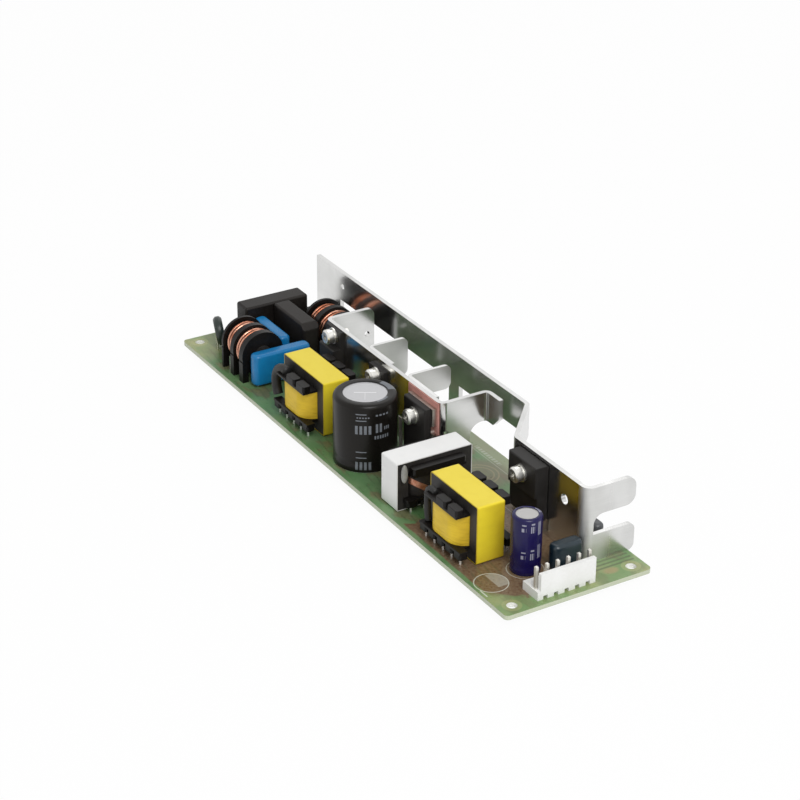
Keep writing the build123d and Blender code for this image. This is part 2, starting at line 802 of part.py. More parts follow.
disc_x = input_end + 11.5
disc_y = near_edge + 9.9
disc_turn = -22
disc_lean = 10
disc_radius = 5.5
disc_thickness = 3.3
disc_edge = 0.9
disc_lift = 1.0
disc_lead_half = 2.5
disc_plane = upright(disc_x, disc_y, disc_lift + disc_radius, disc_turn).rotated((disc_lean, 0, 0))
with BuildPart() as disc:
    with BuildSketch(disc_plane):
        Circle(disc_radius)
    extrude(amount=disc_thickness / 2, both=True)
    chamfer(disc.edges().filter_by(GeomType.CIRCLE), disc_edge)
parts["surge_disc"] = disc.part

with BuildPart() as wire_leads:
    for x, y, turn, length, thickness, bottom, top in dipped_places.values():
        lead_reach = length / 2 - dipped_edge - pin_radius
        with BuildSketch(level(x, y, 0, turn)):
            with GridLocations(2 * lead_reach, 0, 2, 1):
                RegularPolygon(pin_radius, pin_sides)
        extrude(amount=bottom)
        for side in (-1, 1):
            joint(x, y, turn, side * lead_reach, 0)
    # The disc stands on two leads that end inside its leaning rim
    foot_out = disc_radius * sin(radians(disc_lean))
    with BuildSketch(level(disc_x, disc_y, 0, disc_turn)):
        with Locations((-disc_lead_half, -foot_out), (disc_lead_half, -foot_out)):
            RegularPolygon(pin_radius, pin_sides)
    extrude(amount=disc_lift + disc_radius)
    add(disc.part, mode=Mode.SUBTRACT)
    for side in (-1, 1):
        joint(disc_x, disc_y, disc_turn, side * disc_lead_half, -foot_out)
parts["wire_leads"] = wire_leads.part


# Round capacitors: a metal can and a shrunk sleeve that turns in over the rim
def round_capacitor(x, y, radius, height, opening):
    """Can and sleeve, both with a broken rim."""
    with BuildPart() as can:
        with BuildSketch(level(x, y, 0)):
            Circle(radius - sleeve)
        extrude(amount=height - sleeve)
        chamfer(can.edges().filter_by(GeomType.CIRCLE).sort_by(Axis.Z)[-1], rim_edge)
    with BuildPart() as skin:
        with BuildSketch(level(x, y, 0)):
            Circle(radius)
        extrude(amount=height)
        chamfer(skin.edges().filter_by(GeomType.CIRCLE).sort_by(Axis.Z)[-1], rim_edge + sleeve / 2)
        with BuildSketch(level(x, y, height - sleeve)):
            Circle(opening)
        extrude(amount=sleeve, mode=Mode.SUBTRACT)
        add(can.part, mode=Mode.SUBTRACT)
    return can.part, skin.part


for name, x, y, radius, height, opening, pitch in (
    ("bulk_capacitor", 3.3, -14.2, bulk_radius, bulk_height, bulk_opening, bulk_pitch),
    (
        "output_capacitor",
        output_end - 20.0,
        -7.2,
        output_can_radius,
        output_can_height,
        output_can_opening,
        output_can_pitch,
    ),
):
    can, skin = round_capacitor(x, y, radius, height, opening)
    parts[f"{name}_can"] = can
    parts[f"{name}_sleeve"] = skin
    joint(x - pitch / 2, y)
    joint(x + pitch / 2, y)


# Pin header with a floor and a wall at its outer side
def header(x_wall, y_middle, turn, row, pitch):
    """Housing and pins; local x runs along the row, local -y points to the wall."""
    count = round(row / pitch) + 1
    length = row + 2 * header_end
    pin_line = header_wall + pin_from_wall
    with BuildPart() as housing:
        with BuildSketch(level(x_wall, y_middle, 0, turn)):
            with Locations((0, header_depth / 2)):
                Rectangle(length, header_depth)
        extrude(amount=header_base_height)
        with BuildSketch(level(x_wall, y_middle, 0, turn)):
            with Locations((wall_trim / 2, header_wall / 2)):
                Rectangle(length - wall_trim, header_wall)
        extrude(amount=header_wall_height)
        with BuildSketch(level(x_wall, y_middle, 0, turn)):
            with GridLocations(pitch, 0, count - 1, 1):
                Rectangle(header_notch_width, 2 * header_wall)
        extrude(amount=header_notch_height, mode=Mode.SUBTRACT)
        with BuildSketch(level(x_wall, y_middle, 0, turn)):
            with Locations((0, pin_line)):
                with GridLocations(pitch, 0, count, 1):
                    Rectangle(header_pin + clearance, header_pin + clearance)
        extrude(amount=header_base_height, mode=Mode.SUBTRACT)
    with BuildPart() as pins:
        with BuildSketch(level(x_wall, y_middle, 0, turn)):
            with Locations((0, pin_line)):
                with GridLocations(pitch, 0, count, 1):
                    Rectangle(header_pin, header_pin)
        extrude(amount=header_pin_top)
        chamfer(pins.faces().group_by(Axis.Z)[-1].edges(), header_pin / 3)
    for step in range(count):
        joint(x_wall, y_middle, turn, (step - (count - 1) / 2) * pitch, pin_line)
    return housing.part, pins.part


for name, x_wall, y_middle, turn, row, pitch in (
    ("output_header", output_end - output_header_inset, -3.6, 90, output_row, pin_pitch),
    ("input_header", input_end + input_header_inset, 4.0, -90, input_row, 2 * pin_pitch),
):
    housing, pins = header(x_wall, y_middle, turn, row, pitch)
    parts[f"{name}_housing"] = housing
    parts[f"{name}_pins"] = pins


# Fuse beside the far leg of the output heatsink
fuse_x = input_end + 17.0
fuse_y = far_edge - 6.5
with BuildPart() as fuse:
    with BuildSketch(level(fuse_x, fuse_y, 0)):
        RectangleRounded(fuse_length, fuse_width, box_top_edge)
    extrude(amount=fuse_height)
parts["fuse"] = fuse.part
joint(fuse_x - fuse_pitch / 2, fuse_y)
joint(fuse_x + fuse_pitch / 2, fuse_y)


# Underside: solder cones that end in the cut leads, and two control chips
with BuildPart() as solder_joint:
    with BuildSketch(level(0, 0, -board_thickness)):
        RegularPolygon(joint_radius, pin_sides)
    with BuildSketch(level(0, 0, -board_thickness - lead_tail)):
        RegularPolygon(tail_radius, pin_sides)
    loft()

with BuildPart() as solder_joints:
    with Locations(*joints):
        add(solder_joint.part)
parts["solder_joints"] = solder_joints.part

with BuildPart() as control_chips:
    for x, y in ((-8.0, 12.0), (46.0, 16.0)):
        with BuildSketch(level(x, y, -board_thickness - chip_height)):
            Rectangle(chip_length, chip_width)
        extrude(amount=chip_height)
parts["control_chips"] = control_chips.part

os.makedirs("parts", exist_ok=True)
for name, piece in parts.items():
    piece.label = name
    export_step(piece, f"parts/{name}.step")
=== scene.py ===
"""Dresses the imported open-frame power supply: finishes, windings, leads, floor, lights, camera."""

import functools
import math

import bmesh
import bpy
from mathutils import Matrix, Vector


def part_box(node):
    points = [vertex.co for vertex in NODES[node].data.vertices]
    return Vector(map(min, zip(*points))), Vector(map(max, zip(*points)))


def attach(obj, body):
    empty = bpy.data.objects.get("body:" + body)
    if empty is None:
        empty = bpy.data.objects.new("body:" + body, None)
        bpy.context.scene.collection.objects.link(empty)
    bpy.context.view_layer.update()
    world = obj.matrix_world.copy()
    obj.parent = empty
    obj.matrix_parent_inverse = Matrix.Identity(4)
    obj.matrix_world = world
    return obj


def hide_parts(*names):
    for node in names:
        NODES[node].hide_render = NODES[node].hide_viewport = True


bl_info = {
    "name": "Open-frame power supply dresser",
    "version": (1, 0, 0),
    "blender": (4, 5, 0),
    "location": "3D View > Sidebar > Supply",
    "description": "Gives every piece of the power supply its finish and sets the stage",
    "category": "Object",
}

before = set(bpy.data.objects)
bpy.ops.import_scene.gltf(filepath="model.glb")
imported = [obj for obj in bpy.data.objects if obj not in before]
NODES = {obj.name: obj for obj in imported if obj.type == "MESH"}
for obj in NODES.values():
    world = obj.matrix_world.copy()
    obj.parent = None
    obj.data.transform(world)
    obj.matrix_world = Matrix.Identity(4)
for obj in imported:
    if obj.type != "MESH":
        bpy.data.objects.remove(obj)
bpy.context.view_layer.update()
BOARD_LOW, BOARD_HIGH = (Vector(corner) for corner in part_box("circuit_board"))
MIDDLE = Vector(((BOARD_LOW.x + BOARD_HIGH.x) / 2, (BOARD_LOW.y + BOARD_HIGH.y) / 2, BOARD_HIGH.z))
MM = 0.001
MERGE_DISTANCE = 0.000002

# Places, in millimetres from the middle of the board top
HOLE = (106.5, 22.5)
BULK_CENTRE = (3.3, -14.2)
OUTPUT_CENTRE = (91.0, -7.2)
SILK_MARK = (92.5, -20.9)
COIL_MIDDLE = 9.4  # height of the bulge's middle on both taped coils
LUG_X = 5.5
LUG_LINE = ((5.6, -1.6, 0.0), (5.6, -1.6, 5.0), (5.5, -1.55, 10.0), (5.4, -1.3, 13.2))

# Radii of the lids that show in the rims of the two sleeves, in millimetres
BULK_LID = 7.6
OUTPUT_LID = 3.6

# The swung sleeves lie in one row across the board, here as points (x, z)
SLEEVE_ROW = -22.4
BOOST_SLEEVE = (
    (-37.0, 17.7), (-40.2, 17.5), (-43.6, 15.6), (-45.2, 12.2), (-45.0, 8.6), (-43.9, 5.9),
)
OUTPUT_SLEEVE = (
    (61.8, 17.6), (59.4, 17.7), (57.5, 16.4), (57.0, 13.0), (57.1, 8.6), (57.7, 5.4),
)
OUTPUT_SLEEVE_SHARE = 0.65  # its radius over that of the boost choke's sleeve

# Two bands of turns on a line choke, in metres: start from the drum's end, length, and how far
# the outer layer lies under the CAD winding
CHOKE_BANDS = ((0.0012, 0.0057, 0.0007), (0.0093, 0.0045, 0.0004))
LAYER_STEP = 1.7  # from layer to layer, in wire radii

# Plain bars and dashes down a sleeve: first and last bearing in degrees, lowest and highest z,
# and the pitch of the dashes in degrees
BULK_MARKS = (
    (-50.0, -18.0, 22.2, 22.5, 32.0),
    (-50.0, -18.0, 19.8, 20.1, 32.0),
    (-46.0, -22.0, 20.9, 21.3, 5.0),
    (-12.0, 16.0, 21.4, 22.0, 7.0),
    (-49.0, -17.0, 14.9, 18.0, 8.0),
    (-12.0, 3.0, 15.2, 18.4, 7.5),
    (5.0, 17.0, 15.8, 17.0, 4.0),
    (-14.0, 16.0, 12.8, 14.0, 5.0),
    (-50.0, -18.0, 7.9, 8.2, 32.0),
    (-50.0, -18.0, 5.7, 6.0, 32.0),
    (-49.0, -17.0, 1.3, 4.2, 8.0),
)
OUTPUT_MARKS = (
    (-54.0, -36.0, 18.3, 18.7, 30.0),
    (-54.0, -36.0, 16.2, 17.4, 16.0),
    (-19.0, -4.0, 18.6, 19.1, 24.0),
    (-19.0, -4.0, 15.8, 18.0, 7.0),
    (11.0, 25.0, 14.6, 19.2, 5.6),
    (-54.0, -36.0, 8.5, 8.9, 30.0),
    (-54.0, -36.0, 6.4, 7.6, 16.0),
    (-19.0, -4.0, 9.1, 9.6, 24.0),
    (-19.0, -4.0, 6.1, 8.3, 7.0),
    (11.0, 25.0, 6.2, 11.0, 5.6),
)
# Pale fields on a sleeve's rim: first and last bearing, inner and outer radius
BULK_FIELDS = ((72.0, 112.0, 8.0, 10.7), (0.0, 34.0, 7.8, 8.6))
OUTPUT_FIELDS = ((65.0, 108.0, 3.85, 4.15), (68.0, 104.0, 4.4, 4.7))
RIM_DEPTH = 1.6  # how far down from the top the rim's fields reach
RIM_STEPS = 6

# The stage, in metres except for the aim, which is in millimetres to the right and up
FLOOR_SIZE = 6.0
FLOOR_DROP = 0.0002
AIM = (1.46, 15.16)
WHITE = (1.0, 1.0, 1.0)


def spot(x, y, z):
    """A place given in millimetres from the middle of the board top, in the row frame."""
    return MIDDLE + Vector((x, y, z)) * MM


def node_box(name):
    """A CAD node's lowest and highest corners, in millimetres from the middle of the board top."""
    return [(Vector(corner) - MIDDLE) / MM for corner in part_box(name)]


def tinted(colour, red, green, blue):
    """The colour with each of its channels times a factor."""
    return (colour[0] * red, colour[1] * green, colour[2] * blue)


# Shader writing


class Wire:
    """A value socket that Python arithmetic can be written on."""

    def __init__(self, graph, socket):
        self.graph = graph
        self.socket = socket

    def _math(self, operation, *values):
        made = self.graph.node("ShaderNodeMath", {"operation": operation}, dict(enumerate(values)))
        return Wire(self.graph, made.outputs[0])

    def __add__(self, other):
        return self._math("ADD", self, other)

    def __radd__(self, other):
        return self._math("ADD", other, self)

    def __sub__(self, other):
        return self._math("SUBTRACT", self, other)

    def __rsub__(self, other):
        return self._math("SUBTRACT", other, self)

    def __mul__(self, other):
        return self._math("MULTIPLY", self, other)

    def __rmul__(self, other):
        return self._math("MULTIPLY", other, self)

    def __truediv__(self, other):
        return self._math("DIVIDE", self, other)

    def __rtruediv__(self, other):
        return self._math("DIVIDE", other, self)

    def __gt__(self, other):
        return self._math("GREATER_THAN", self, other)

    def __lt__(self, other):
        return self._math("LESS_THAN", self, other)

    def __abs__(self):
        return self._math("ABSOLUTE", self)

    def root(self):
        return self._math("SQRT", self)

    def fraction(self):
        return self._math("FRACT", self)

    def bearing(self, other):
        """Angle of the point (other, self) round the origin, in degrees."""
        return self._math("ARCTAN2", self, other) * math.degrees(1.0)

    def least(self, other):
        return self._math("MINIMUM", self, other)

    def most(self, other):
        return self._math("MAXIMUM", self, other)

    def ease(self, low, high, start=0.0, end=1.0):
        """Runs smoothly from start to end while the value goes from low to high."""
        made = self.graph.node(
            "ShaderNodeMapRange",
            {"interpolation_type": "SMOOTHSTEP"},
            {"Value": self, "From Min": low, "From Max": high, "To Min": start, "To Max": end},
        )
        return Wire(self.graph, made.outputs["Result"])

    def between(self, low, high, soft=0.15):
        """1 where the value lies between low and high, with soft ends."""
        return self.ease(low - soft, low) * self.ease(high + soft, high)


def distance(across, along):
    """Distance of the point (across, along) from the origin."""
    return (across * across + along * along).root()


def strongest(masks):
    """The highest of several masks at each point."""
    return functools.reduce(Wire.most, masks)


class Graph:
    """A node tree while it is being written."""

    def __init__(self, tree):
        self.tree = tree
        tree.nodes.clear()

    def put(self, socket, value):
        """Links a value to a socket, or writes it there."""
        if isinstance(value, Wire):
            self.tree.links.new(value.socket, socket)
        elif isinstance(value, bpy.types.NodeSocket):
            self.tree.links.new(value, socket)
        elif socket.type == "RGBA" and len(value) == 3:
            socket.default_value = (*value, 1.0)
        else:
            socket.default_value = value

    def node(self, kind, settings=None, values=None):
        """Adds a node, its settings first, then the values or links of its sockets."""
        made = self.tree.nodes.new(kind)
        for name, value in (settings or {}).items():
            setattr(made, name, value)
        for name, value in (values or {}).items():
            self.put(made.inputs[name], value)
        return made

    def wire(self, socket):
        return Wire(self, socket)

    def vector(self, operation, first, second):
        """The result of vector maths on two vectors."""
        made = self.node("ShaderNodeVectorMath", {"operation": operation}, {0: first, 1: second})
        return made.outputs[0]

    def mix_shaders(self, factor, low, high):
        """Surface that goes from low to high with the factor."""
        return self.node("ShaderNodeMixShader", None, {0: factor, 1: low, 2: high}).outputs[0]

    def seen_plainly(self):
        """1 for what the camera, a mirror or a clear surface sees."""
        path = self.node("ShaderNodeLightPath").outputs
        rays = ("Is Camera Ray", "Is Glossy Ray", "Is Transmission Ray")
        return strongest([self.wire(path[ray]) for ray in rays])


class Finish(Graph):
    """One node-based material while it is being written."""

    def __init__(self, name):
        self.material = bpy.data.materials.new(name)
        self.material.use_nodes = True
        super().__init__(self.material.node_tree)
        self.shader = self.node("ShaderNodeBsdfPrincipled")
        self.output = self.node(
            "ShaderNodeOutputMaterial", None, {"Surface": self.shader.outputs[0]}
        )

    @functools.cached_property
    def millimetres(self):
        """Object coordinates, in millimetres from the middle of the board top."""
        coordinates = self.node("ShaderNodeTexCoord").outputs["Object"]
        moved = self.vector("SUBTRACT", coordinates, tuple(MIDDLE))
        return self.vector("MULTIPLY", moved, (1 / MM, 1 / MM, 1 / MM))

    def place(self):
        """The object coordinates in millimetres as three wires."""
        parts = self.node("ShaderNodeSeparateXYZ", None, {0: self.millimetres})
        return [self.wire(parts.outputs[axis]) for axis in range(3)]

    def noise(self, scale, detail=3.0, stretch=(1.0, 1.0, 1.0)):
        """Soft noise from 0 to 1, its scale in cycles over a millimetre."""
        made = self.node(
            "ShaderNodeTexNoise",
            None,
            {
                "Vector": self.vector("MULTIPLY", self.millimetres, stretch),
                "Scale": scale,
                "Detail": detail,
            },
        )
        return self.wire(made.outputs["Fac"])

    def blend(self, factor, low, high):
        """Colour that goes from low to high with the factor."""
        mix = self.node("ShaderNodeMix", {"data_type": "RGBA"}, {0: factor, 6: low, 7: high})
        return mix.outputs[2]

    def bump(self, height, depth, strength):
        """Normal from a height in units of the depth, given in millimetres."""
        made = self.node(
            "ShaderNodeBump",
            None,
            {"Strength": strength, "Distance": depth * MM, "Height": height},
        )
        self.put(self.shader.inputs["Normal"], made.outputs[0])

    def set(self, **values):
        """Sets or links the sockets of the surface shader; words joined by underscores."""
        for name, value in values.items():
            socket = name.replace("_", " ").title().replace("Ior", "IOR")
            self.put(self.shader.inputs[socket], value)


# Finishes. All places and sizes in them are in millimetres.


def masked_copper(finish, x, y, fine):
    """Green solder mask over copper fields, tracks and rails: its colour and its height."""
    cloud = finish.noise(0.07)
    wander = (finish.noise(0.11, 4.0, (1.0, 1.3, 1.0)) - 0.5) * 12.0
    patch = finish.noise(0.10, stretch=(0.9, 1.6, 1.0))
    ends = x.ease(92.0, 108.0).most(x.ease(-86.0, -100.0))
    green = finish.blend(cloud.ease(0.3, 0.7), (0.098, 0.215, 0.082), (0.170, 0.280, 0.130))
    pale = finish.blend(cloud.ease(0.35, 0.6), (0.190, 0.300, 0.120), (0.350, 0.375, 0.170))
    colour = finish.blend(ends, green, pale)

    field = (x + wander).between(50.0, 105.0, 1.0)
    field = field * (y + wander * 0.1).between(-25.4, 14.0, 0.6)
    field = field * (x - y).ease(123.0, 120.5) * (x + y).ease(106.0, 103.0)
    patches = patch.ease(0.50, 0.60) * 0.6 * y.ease(-26.6, -25.2) * ends.ease(0.0, 1.0, 1.0, 0.45)
    brown = finish.blend(fine.ease(0.3, 0.7), (0.150, 0.090, 0.050), (0.205, 0.145, 0.088))
    colour = finish.blend(field.most(patches), colour, brown)

    steps = (y * 0.36 + (x * 0.045 + wander * 0.05)).fraction()
    tracks = steps.between(0.36, 0.58, 0.04) * patch.ease(0.46, 0.50) * x.ease(94.0, 90.0)
    colour = finish.blend(tracks * ends.ease(0.0, 1.0, 0.28, 0.1), colour, (0.055, 0.085, 0.045))

    rails = ((x - 98.6) / 1.9).fraction().between(0.25, 0.6, 0.1)
    rails = rails * x.between(98.6, 104.2) * y.between(8.0, 26.0)
    colour = finish.blend(rails * 0.6, colour, (0.090, 0.100, 0.055))
    return colour, tracks * 0.6 + rails + field * 0.5


def board_shades(finish, x, y, colour):
    """Adds a warm smudge, a pale strip beside the long heatsink and a dark round with loops."""
    smudge = distance((x - 105.5) * 1.3, (y - 15.5) * 0.8).ease(3.0, 1.2)
    colour = finish.blend(smudge * 0.5, colour, (0.48, 0.30, 0.17))
    strip = y.ease(19.5, 24.5) * x.between(2.0, 48.0, 6.0)
    colour = finish.blend(strip * 0.75, colour, (0.350, 0.375, 0.240))
    turn = distance(x - 33.0, y - 13.0)
    colour = finish.blend(turn.ease(13.0, 8.0) * 0.7, colour, (0.205, 0.170, 0.115))
    loops = turn.between(6.6, 7.0, 0.2).most(turn.between(5.0, 5.3, 0.2))
    return finish.blend(loops * 0.6, colour, (0.330, 0.290, 0.170))


def silk_lines(x, y):
    """Where the board has silk: a half-filled ring, a can's ring, dashes, bars and lines."""
    mark_x, mark_y = x - SILK_MARK[0], y - SILK_MARK[1]
    mark = distance(mark_x, mark_y)
    can = distance(x - OUTPUT_CENTRE[0], y - OUTPUT_CENTRE[1])
    dashes = (x * 0.62).fraction().between(0.15, 0.7, 0.1) * abs(y - 23.0).ease(0.9, 0.6)
    return strongest([
        mark.between(5.35, 5.6, 0.08),
        (mark < 5.5) * mark_y.ease(0.5, 0.8) * mark_x.between(-4.6, 3.2) * 0.45,
        can.between(5.9, 6.05, 0.08) * 0.8,
        x.between(94.6, 98.6, 0.1) * y.between(-26.5, -26.1, 0.08),
        dashes * x.between(15.5, 31.0) * 0.45,
        abs(y - 21.4).ease(0.25, 0.1) * x.between(13.0, 38.0) * 0.35,
        abs(y - 3.2).between(5.4, 5.6, 0.05) * x.between(52.0, 70.0) * 0.5,
        x.between(114.0, 114.2, 0.05) * y.between(-18.0, 12.0) * 0.5,
    ])


def board_finish():
    """Masked copper with silk lines, pale rings round the holes, a pale cut edge and hole walls
    painted near white as painted light.
    """
    finish = Finish("solder_mask")
    x, y, z = finish.place()
    fine = finish.noise(1.0)
    colour, height = masked_copper(finish, x, y, fine)
    colour = board_shades(finish, x, y, colour)
    silk = silk_lines(x, y)
    colour = finish.blend(silk * 0.75, colour, (0.66, 0.68, 0.60))
    hole = distance(abs(x) - HOLE[0], abs(y) - HOLE[1])
    colour = finish.blend(hole.between(1.75, 3.1, 0.2) * 0.3, colour, (0.50, 0.48, 0.22))
    edge = z.ease(-0.14, -0.04, 1.0, 0.0) * z.ease(-1.56, -1.5)
    colour = finish.blend(edge, colour, (0.52, 0.56, 0.42))
    # Painted light: the hole walls are pale like plating and brightened to near white, so the holes
    # read bright instead of shaded.
    colour = finish.blend(edge * (hole < 1.9), colour, (0.92, 0.92, 0.88))
    finish.set(
        base_color=colour,
        roughness=fine.ease(0.2, 0.8, 0.26, 0.38),
        specular_ior_level=0.4,
    )
    finish.bump(height + silk * 0.2, 0.03, 0.6)
    return finish.material


def sheet_finish(name, tone_low, tone_high, roughness):
    """Rolled aluminium: satin mirror with faint grain and soft clouds, duller in the end bend."""
    finish = Finish(name)
    x, y, _ = finish.place()
    bend = x.ease(93.0, 95.5) * y.ease(22.0, 14.0)
    grain = finish.noise(1.2, 3.0, (0.04, 0.04, 3.0))
    cloud = finish.noise(0.10, 2.0)
    tone = grain * 0.25 + cloud * 0.75
    gloss = tone.ease(0.3, 0.7, roughness * 0.9, roughness * 1.12)
    finish.set(
        base_color=finish.blend(tone.ease(0.35, 0.65), tone_low, tone_high),
        metallic=1.0,
        roughness=gloss + bend * 0.28,
    )
    finish.bump(grain * 0.3 + cloud, 0.006, 0.4)
    return finish.material


def plain_finish(
    name, colour, second, roughness, bump=0.004, scale=1.5, metallic=0.0, shine=0.5
):
    """Moulded, dipped or plated surface: two close tones, uneven gloss, very fine bump."""
    finish = Finish(name)
    tone = finish.noise(scale)
    slow = finish.noise(scale / 10, 2.0)
    gloss = tone * 0.3 + slow * 0.7
    finish.set(
        base_color=finish.blend((tone * 0.35 + slow * 0.65).ease(0.35, 0.65), colour, second),
        roughness=gloss.ease(0.3, 0.7, roughness * 0.9, roughness * 1.1),
        metallic=metallic,
        specular_ior_level=shine,
    )
    finish.bump(tone, bump, 0.6)
    return finish.material


def tape_finish(name, colour, shade, node, across_y):
    """Film tape over a core: glossy, hardly wrinkled, with painted shade at its rims, at its foot,
    on its far side and a little in its wrinkles.
    """
    finish = Finish(name)
    x, y, z = finish.place()
    low, high = node_box(node)
    across, start, end = (y, low.y, high.y) if across_y else (x, low.x, high.x)
    # Painted shade: the tape darkens near the band's rims.
    rim = (abs(across - (start + end) / 2) - (end - start) / 2).ease(-0.45, -0.05)
    wrinkle = finish.noise(0.22, 2.0, (1.0, 1.0, 1.6))
    foot = z.ease(low.z + 7.0, low.z, 0.0, 0.3)
    if across_y:
        far_side_shade = y.ease(low.y + 1.0, high.y, 0.0, 0.6)
        foot = foot + far_side_shade * z.ease(high.z - 0.3, high.z - 1.2)
    # Painted shade from the wrinkles, rims, foot and far side, mixed towards the shaded copy of the
    # tape colour.
    mix = (wrinkle.ease(0.35, 0.8) * 0.12 + rim * 0.75 + foot).least(1.0)
    finish.set(
        base_color=finish.blend(mix, colour, shade),
        roughness=wrinkle.ease(0.3, 0.7, 0.3, 0.38),
        specular_ior_level=0.35,
    )
    finish.bump(wrinkle, 0.02, 0.4)
    return finish.material


def coil_finish(name, colour, shade, node):
    """Taped coil: a few level wraps of film with soft creases and darker laps, and painted shade in
    the creases, above and below the bulge's middle and towards the near end.
    """
    finish = Finish(name)
    x, _, z = finish.place()
    near_end = node_box(node)[1].x
    crease = finish.noise(0.18, 2.0, (1.0, 1.0, 2.4))
    fine = finish.noise(0.5, 2.0, (0.5, 0.5, 5.0))
    laps = (z * 0.7 + crease * 1.6).fraction()
    line = laps.between(0.0, 0.08, 0.06) * z.ease(COIL_MIDDLE - 1.0, COIL_MIDDLE - 2.5)
    # Painted shade: darker in the creases; the lap lines and the fine tone are the film's own.
    shaded = crease.ease(0.4, 0.8) * 0.25 + line * 0.4 + fine.ease(0.45, 0.75) * 0.18
    # Painted shade above and below the bulge's middle and towards the coil's near end.
    rims = abs(z - COIL_MIDDLE).ease(4.0, 6.5).most(x.ease(near_end - 4.5, near_end - 0.5))
    finish.set(
        base_color=finish.blend((shaded + rims * 0.4).least(1.0), colour, shade),
        roughness=crease.ease(0.3, 0.7, 0.38, 0.46),
        specular_ior_level=0.22,
    )
    finish.bump(crease - line * 0.4, 0.06, 0.5)
    return finish.material


def wedge_coil_finish(copper, second):
    """Transformer coil: very dark all over but for a slanted wedge of bare copper, with painted
    shade between its strands and a painted shadow that darkens the copper towards higher y.
    """
    finish = Finish("wrapped_copper_coil")
    x, y, z = finish.place()
    wire = finish.noise(1.0, 2.0)
    grain = wire.ease(0.3, 0.7)
    slope = z + (y + 12.8) * 0.55 - 6.4
    bare = slope.between(-0.4, 1.5, 0.35) * (x > 36.0) * (y < -10.0)
    strands = (slope * 2.2).fraction().between(0.15, 0.85, 0.15)
    colour = finish.blend(grain, copper, second)
    # Painted shade: dark lines between the strands.
    colour = finish.blend(strands, (0.10, 0.03, 0.01), colour)
    # Painted shadow: the copper darkens towards higher y.
    colour = finish.blend(y.ease(-15.5, -11.5), colour, (0.09, 0.028, 0.012))
    dark_rest = finish.blend(grain, (0.012, 0.010, 0.009), (0.020, 0.017, 0.014))
    finish.set(
        base_color=finish.blend(bare, dark_rest, colour),
        metallic=bare * 0.8,
        roughness=bare.ease(0.0, 1.0, 0.5, 0.3),
        specular_ior_level=0.3,
    )
    finish.bump(strands * bare + wire * 0.1, 0.06, 0.6)
    return finish.material


def sleeve_finish(name, tones, roughness, shine, centre, top, marks, fields, ink):
    """Shrunk sleeve with pale dashes in columns down its side and pale fields on its rim."""
    finish = Finish(name)
    x, y, z = finish.place()
    dx = x - centre[0]
    dy = y - centre[1]
    around = dy.bearing(dx)
    far = distance(dx, dy)
    tone = finish.noise(1.2)
    slow = finish.noise(0.12, 2.0, (1.0, 1.0, 0.3))
    uneven = tone * 0.3 + slow * 0.7
    base = finish.blend(uneven.ease(0.35, 0.65), *tones)
    printed = []
    for first, last, low, high, pitch in marks:
        band = around.between(first, last, 0.8) * z.between(low, high, 0.08)
        printed.append(band * ((around - first) / pitch).fraction().between(0.12, 0.66, 0.06))
    for first, last, near, wide in fields:
        field = around.between(first, last, 1.0) * far.between(near, wide, 0.1)
        printed.append(field * (z > top - RIM_DEPTH))
    worn = strongest(printed) * tone.ease(0.25, 0.5, 0.75, 1.0)
    finish.set(
        base_color=finish.blend(worn * 0.7, base, ink),
        roughness=uneven.ease(0.3, 0.7, roughness * 0.9, roughness * 1.15),
        specular_ior_level=shine,
    )
    finish.bump(slow + tone * 0.1, 0.02, 0.5)
    return finish.material


def can_finish(name, centre, radius, colour, scored):
    """Drawn aluminium lid, matt, with crossed pressure lines where it is scored."""
    finish = Finish(name)
    x, y, _ = finish.place()
    dx = x - centre[0]
    dy = y - centre[1]
    turn = math.radians(-31)
    across = dx * math.cos(turn) + dy * math.sin(turn)
    along = dy * math.cos(turn) - dx * math.sin(turn)
    line = abs(across).ease(0.32, 0.10) * (abs(along) < radius * 0.5)
    foot = abs(along).ease(0.32, 0.10) * (across > 0) * (across < radius * 0.7)
    score = line.most(foot * 0.3) * float(scored)
    tone = finish.noise(0.8)
    ring = distance(across, along).between(radius * 0.80, radius * 0.86, 0.15)
    base = finish.blend(tone.ease(0.3, 0.7), colour, tinted(colour, 1.06, 1.06, 1.06))
    base = finish.blend(score * 0.7, base, (0.86, 0.86, 0.88))
    finish.set(base_color=base, metallic=0.6, roughness=tone.ease(0.3, 0.7, 0.42, 0.55))
    finish.bump(score * 0.8 + ring * 0.3 + tone * 0.05, 0.12, 0.6)
    return finish.material


def wire_finish(name, colour, second):
    """Lacquered copper wire, brighter and darker along its turns."""
    finish = Finish(name)
    tone = finish.noise(0.16, 2.0, (3.0, 1.0, 1.0))
    finish.set(
        base_color=finish.blend(tone.ease(0.4, 0.6), colour, second),
        metallic=0.95,
        roughness=tone.ease(0.3, 0.7, 0.2, 0.27),
        specular_ior_level=0.5,
    )
    finish.bump(tone, 0.01, 0.2)
    return finish.material


def floor_finish():
    """Pale floor: white to the camera and to mirrors, and still darkened by the shadow."""
    finish = Finish("pale_floor")
    finish.set(base_color=(0.86, 0.86, 0.86), roughness=0.9, specular_ior_level=0.0)
    glow = finish.node("ShaderNodeEmission", None, {"Color": WHITE, "Strength": 1.0})
    mixed = finish.mix_shaders(
        finish.seen_plainly() * 0.96, finish.shader.outputs[0], glow.outputs[0]
    )
    finish.put(finish.output.inputs["Surface"], mixed)
    return finish.material


# Mesh helpers


def dress(material, *names):
    """Gives CAD nodes a finish."""
    for name in names:
        mesh = NODES[name].data
        mesh.materials.clear()
        mesh.materials.append(material)


def link(name, data):
    """An object of the data, in the scene."""
    made = bpy.data.objects.new(name, data)
    bpy.context.scene.collection.objects.link(made)
    return made


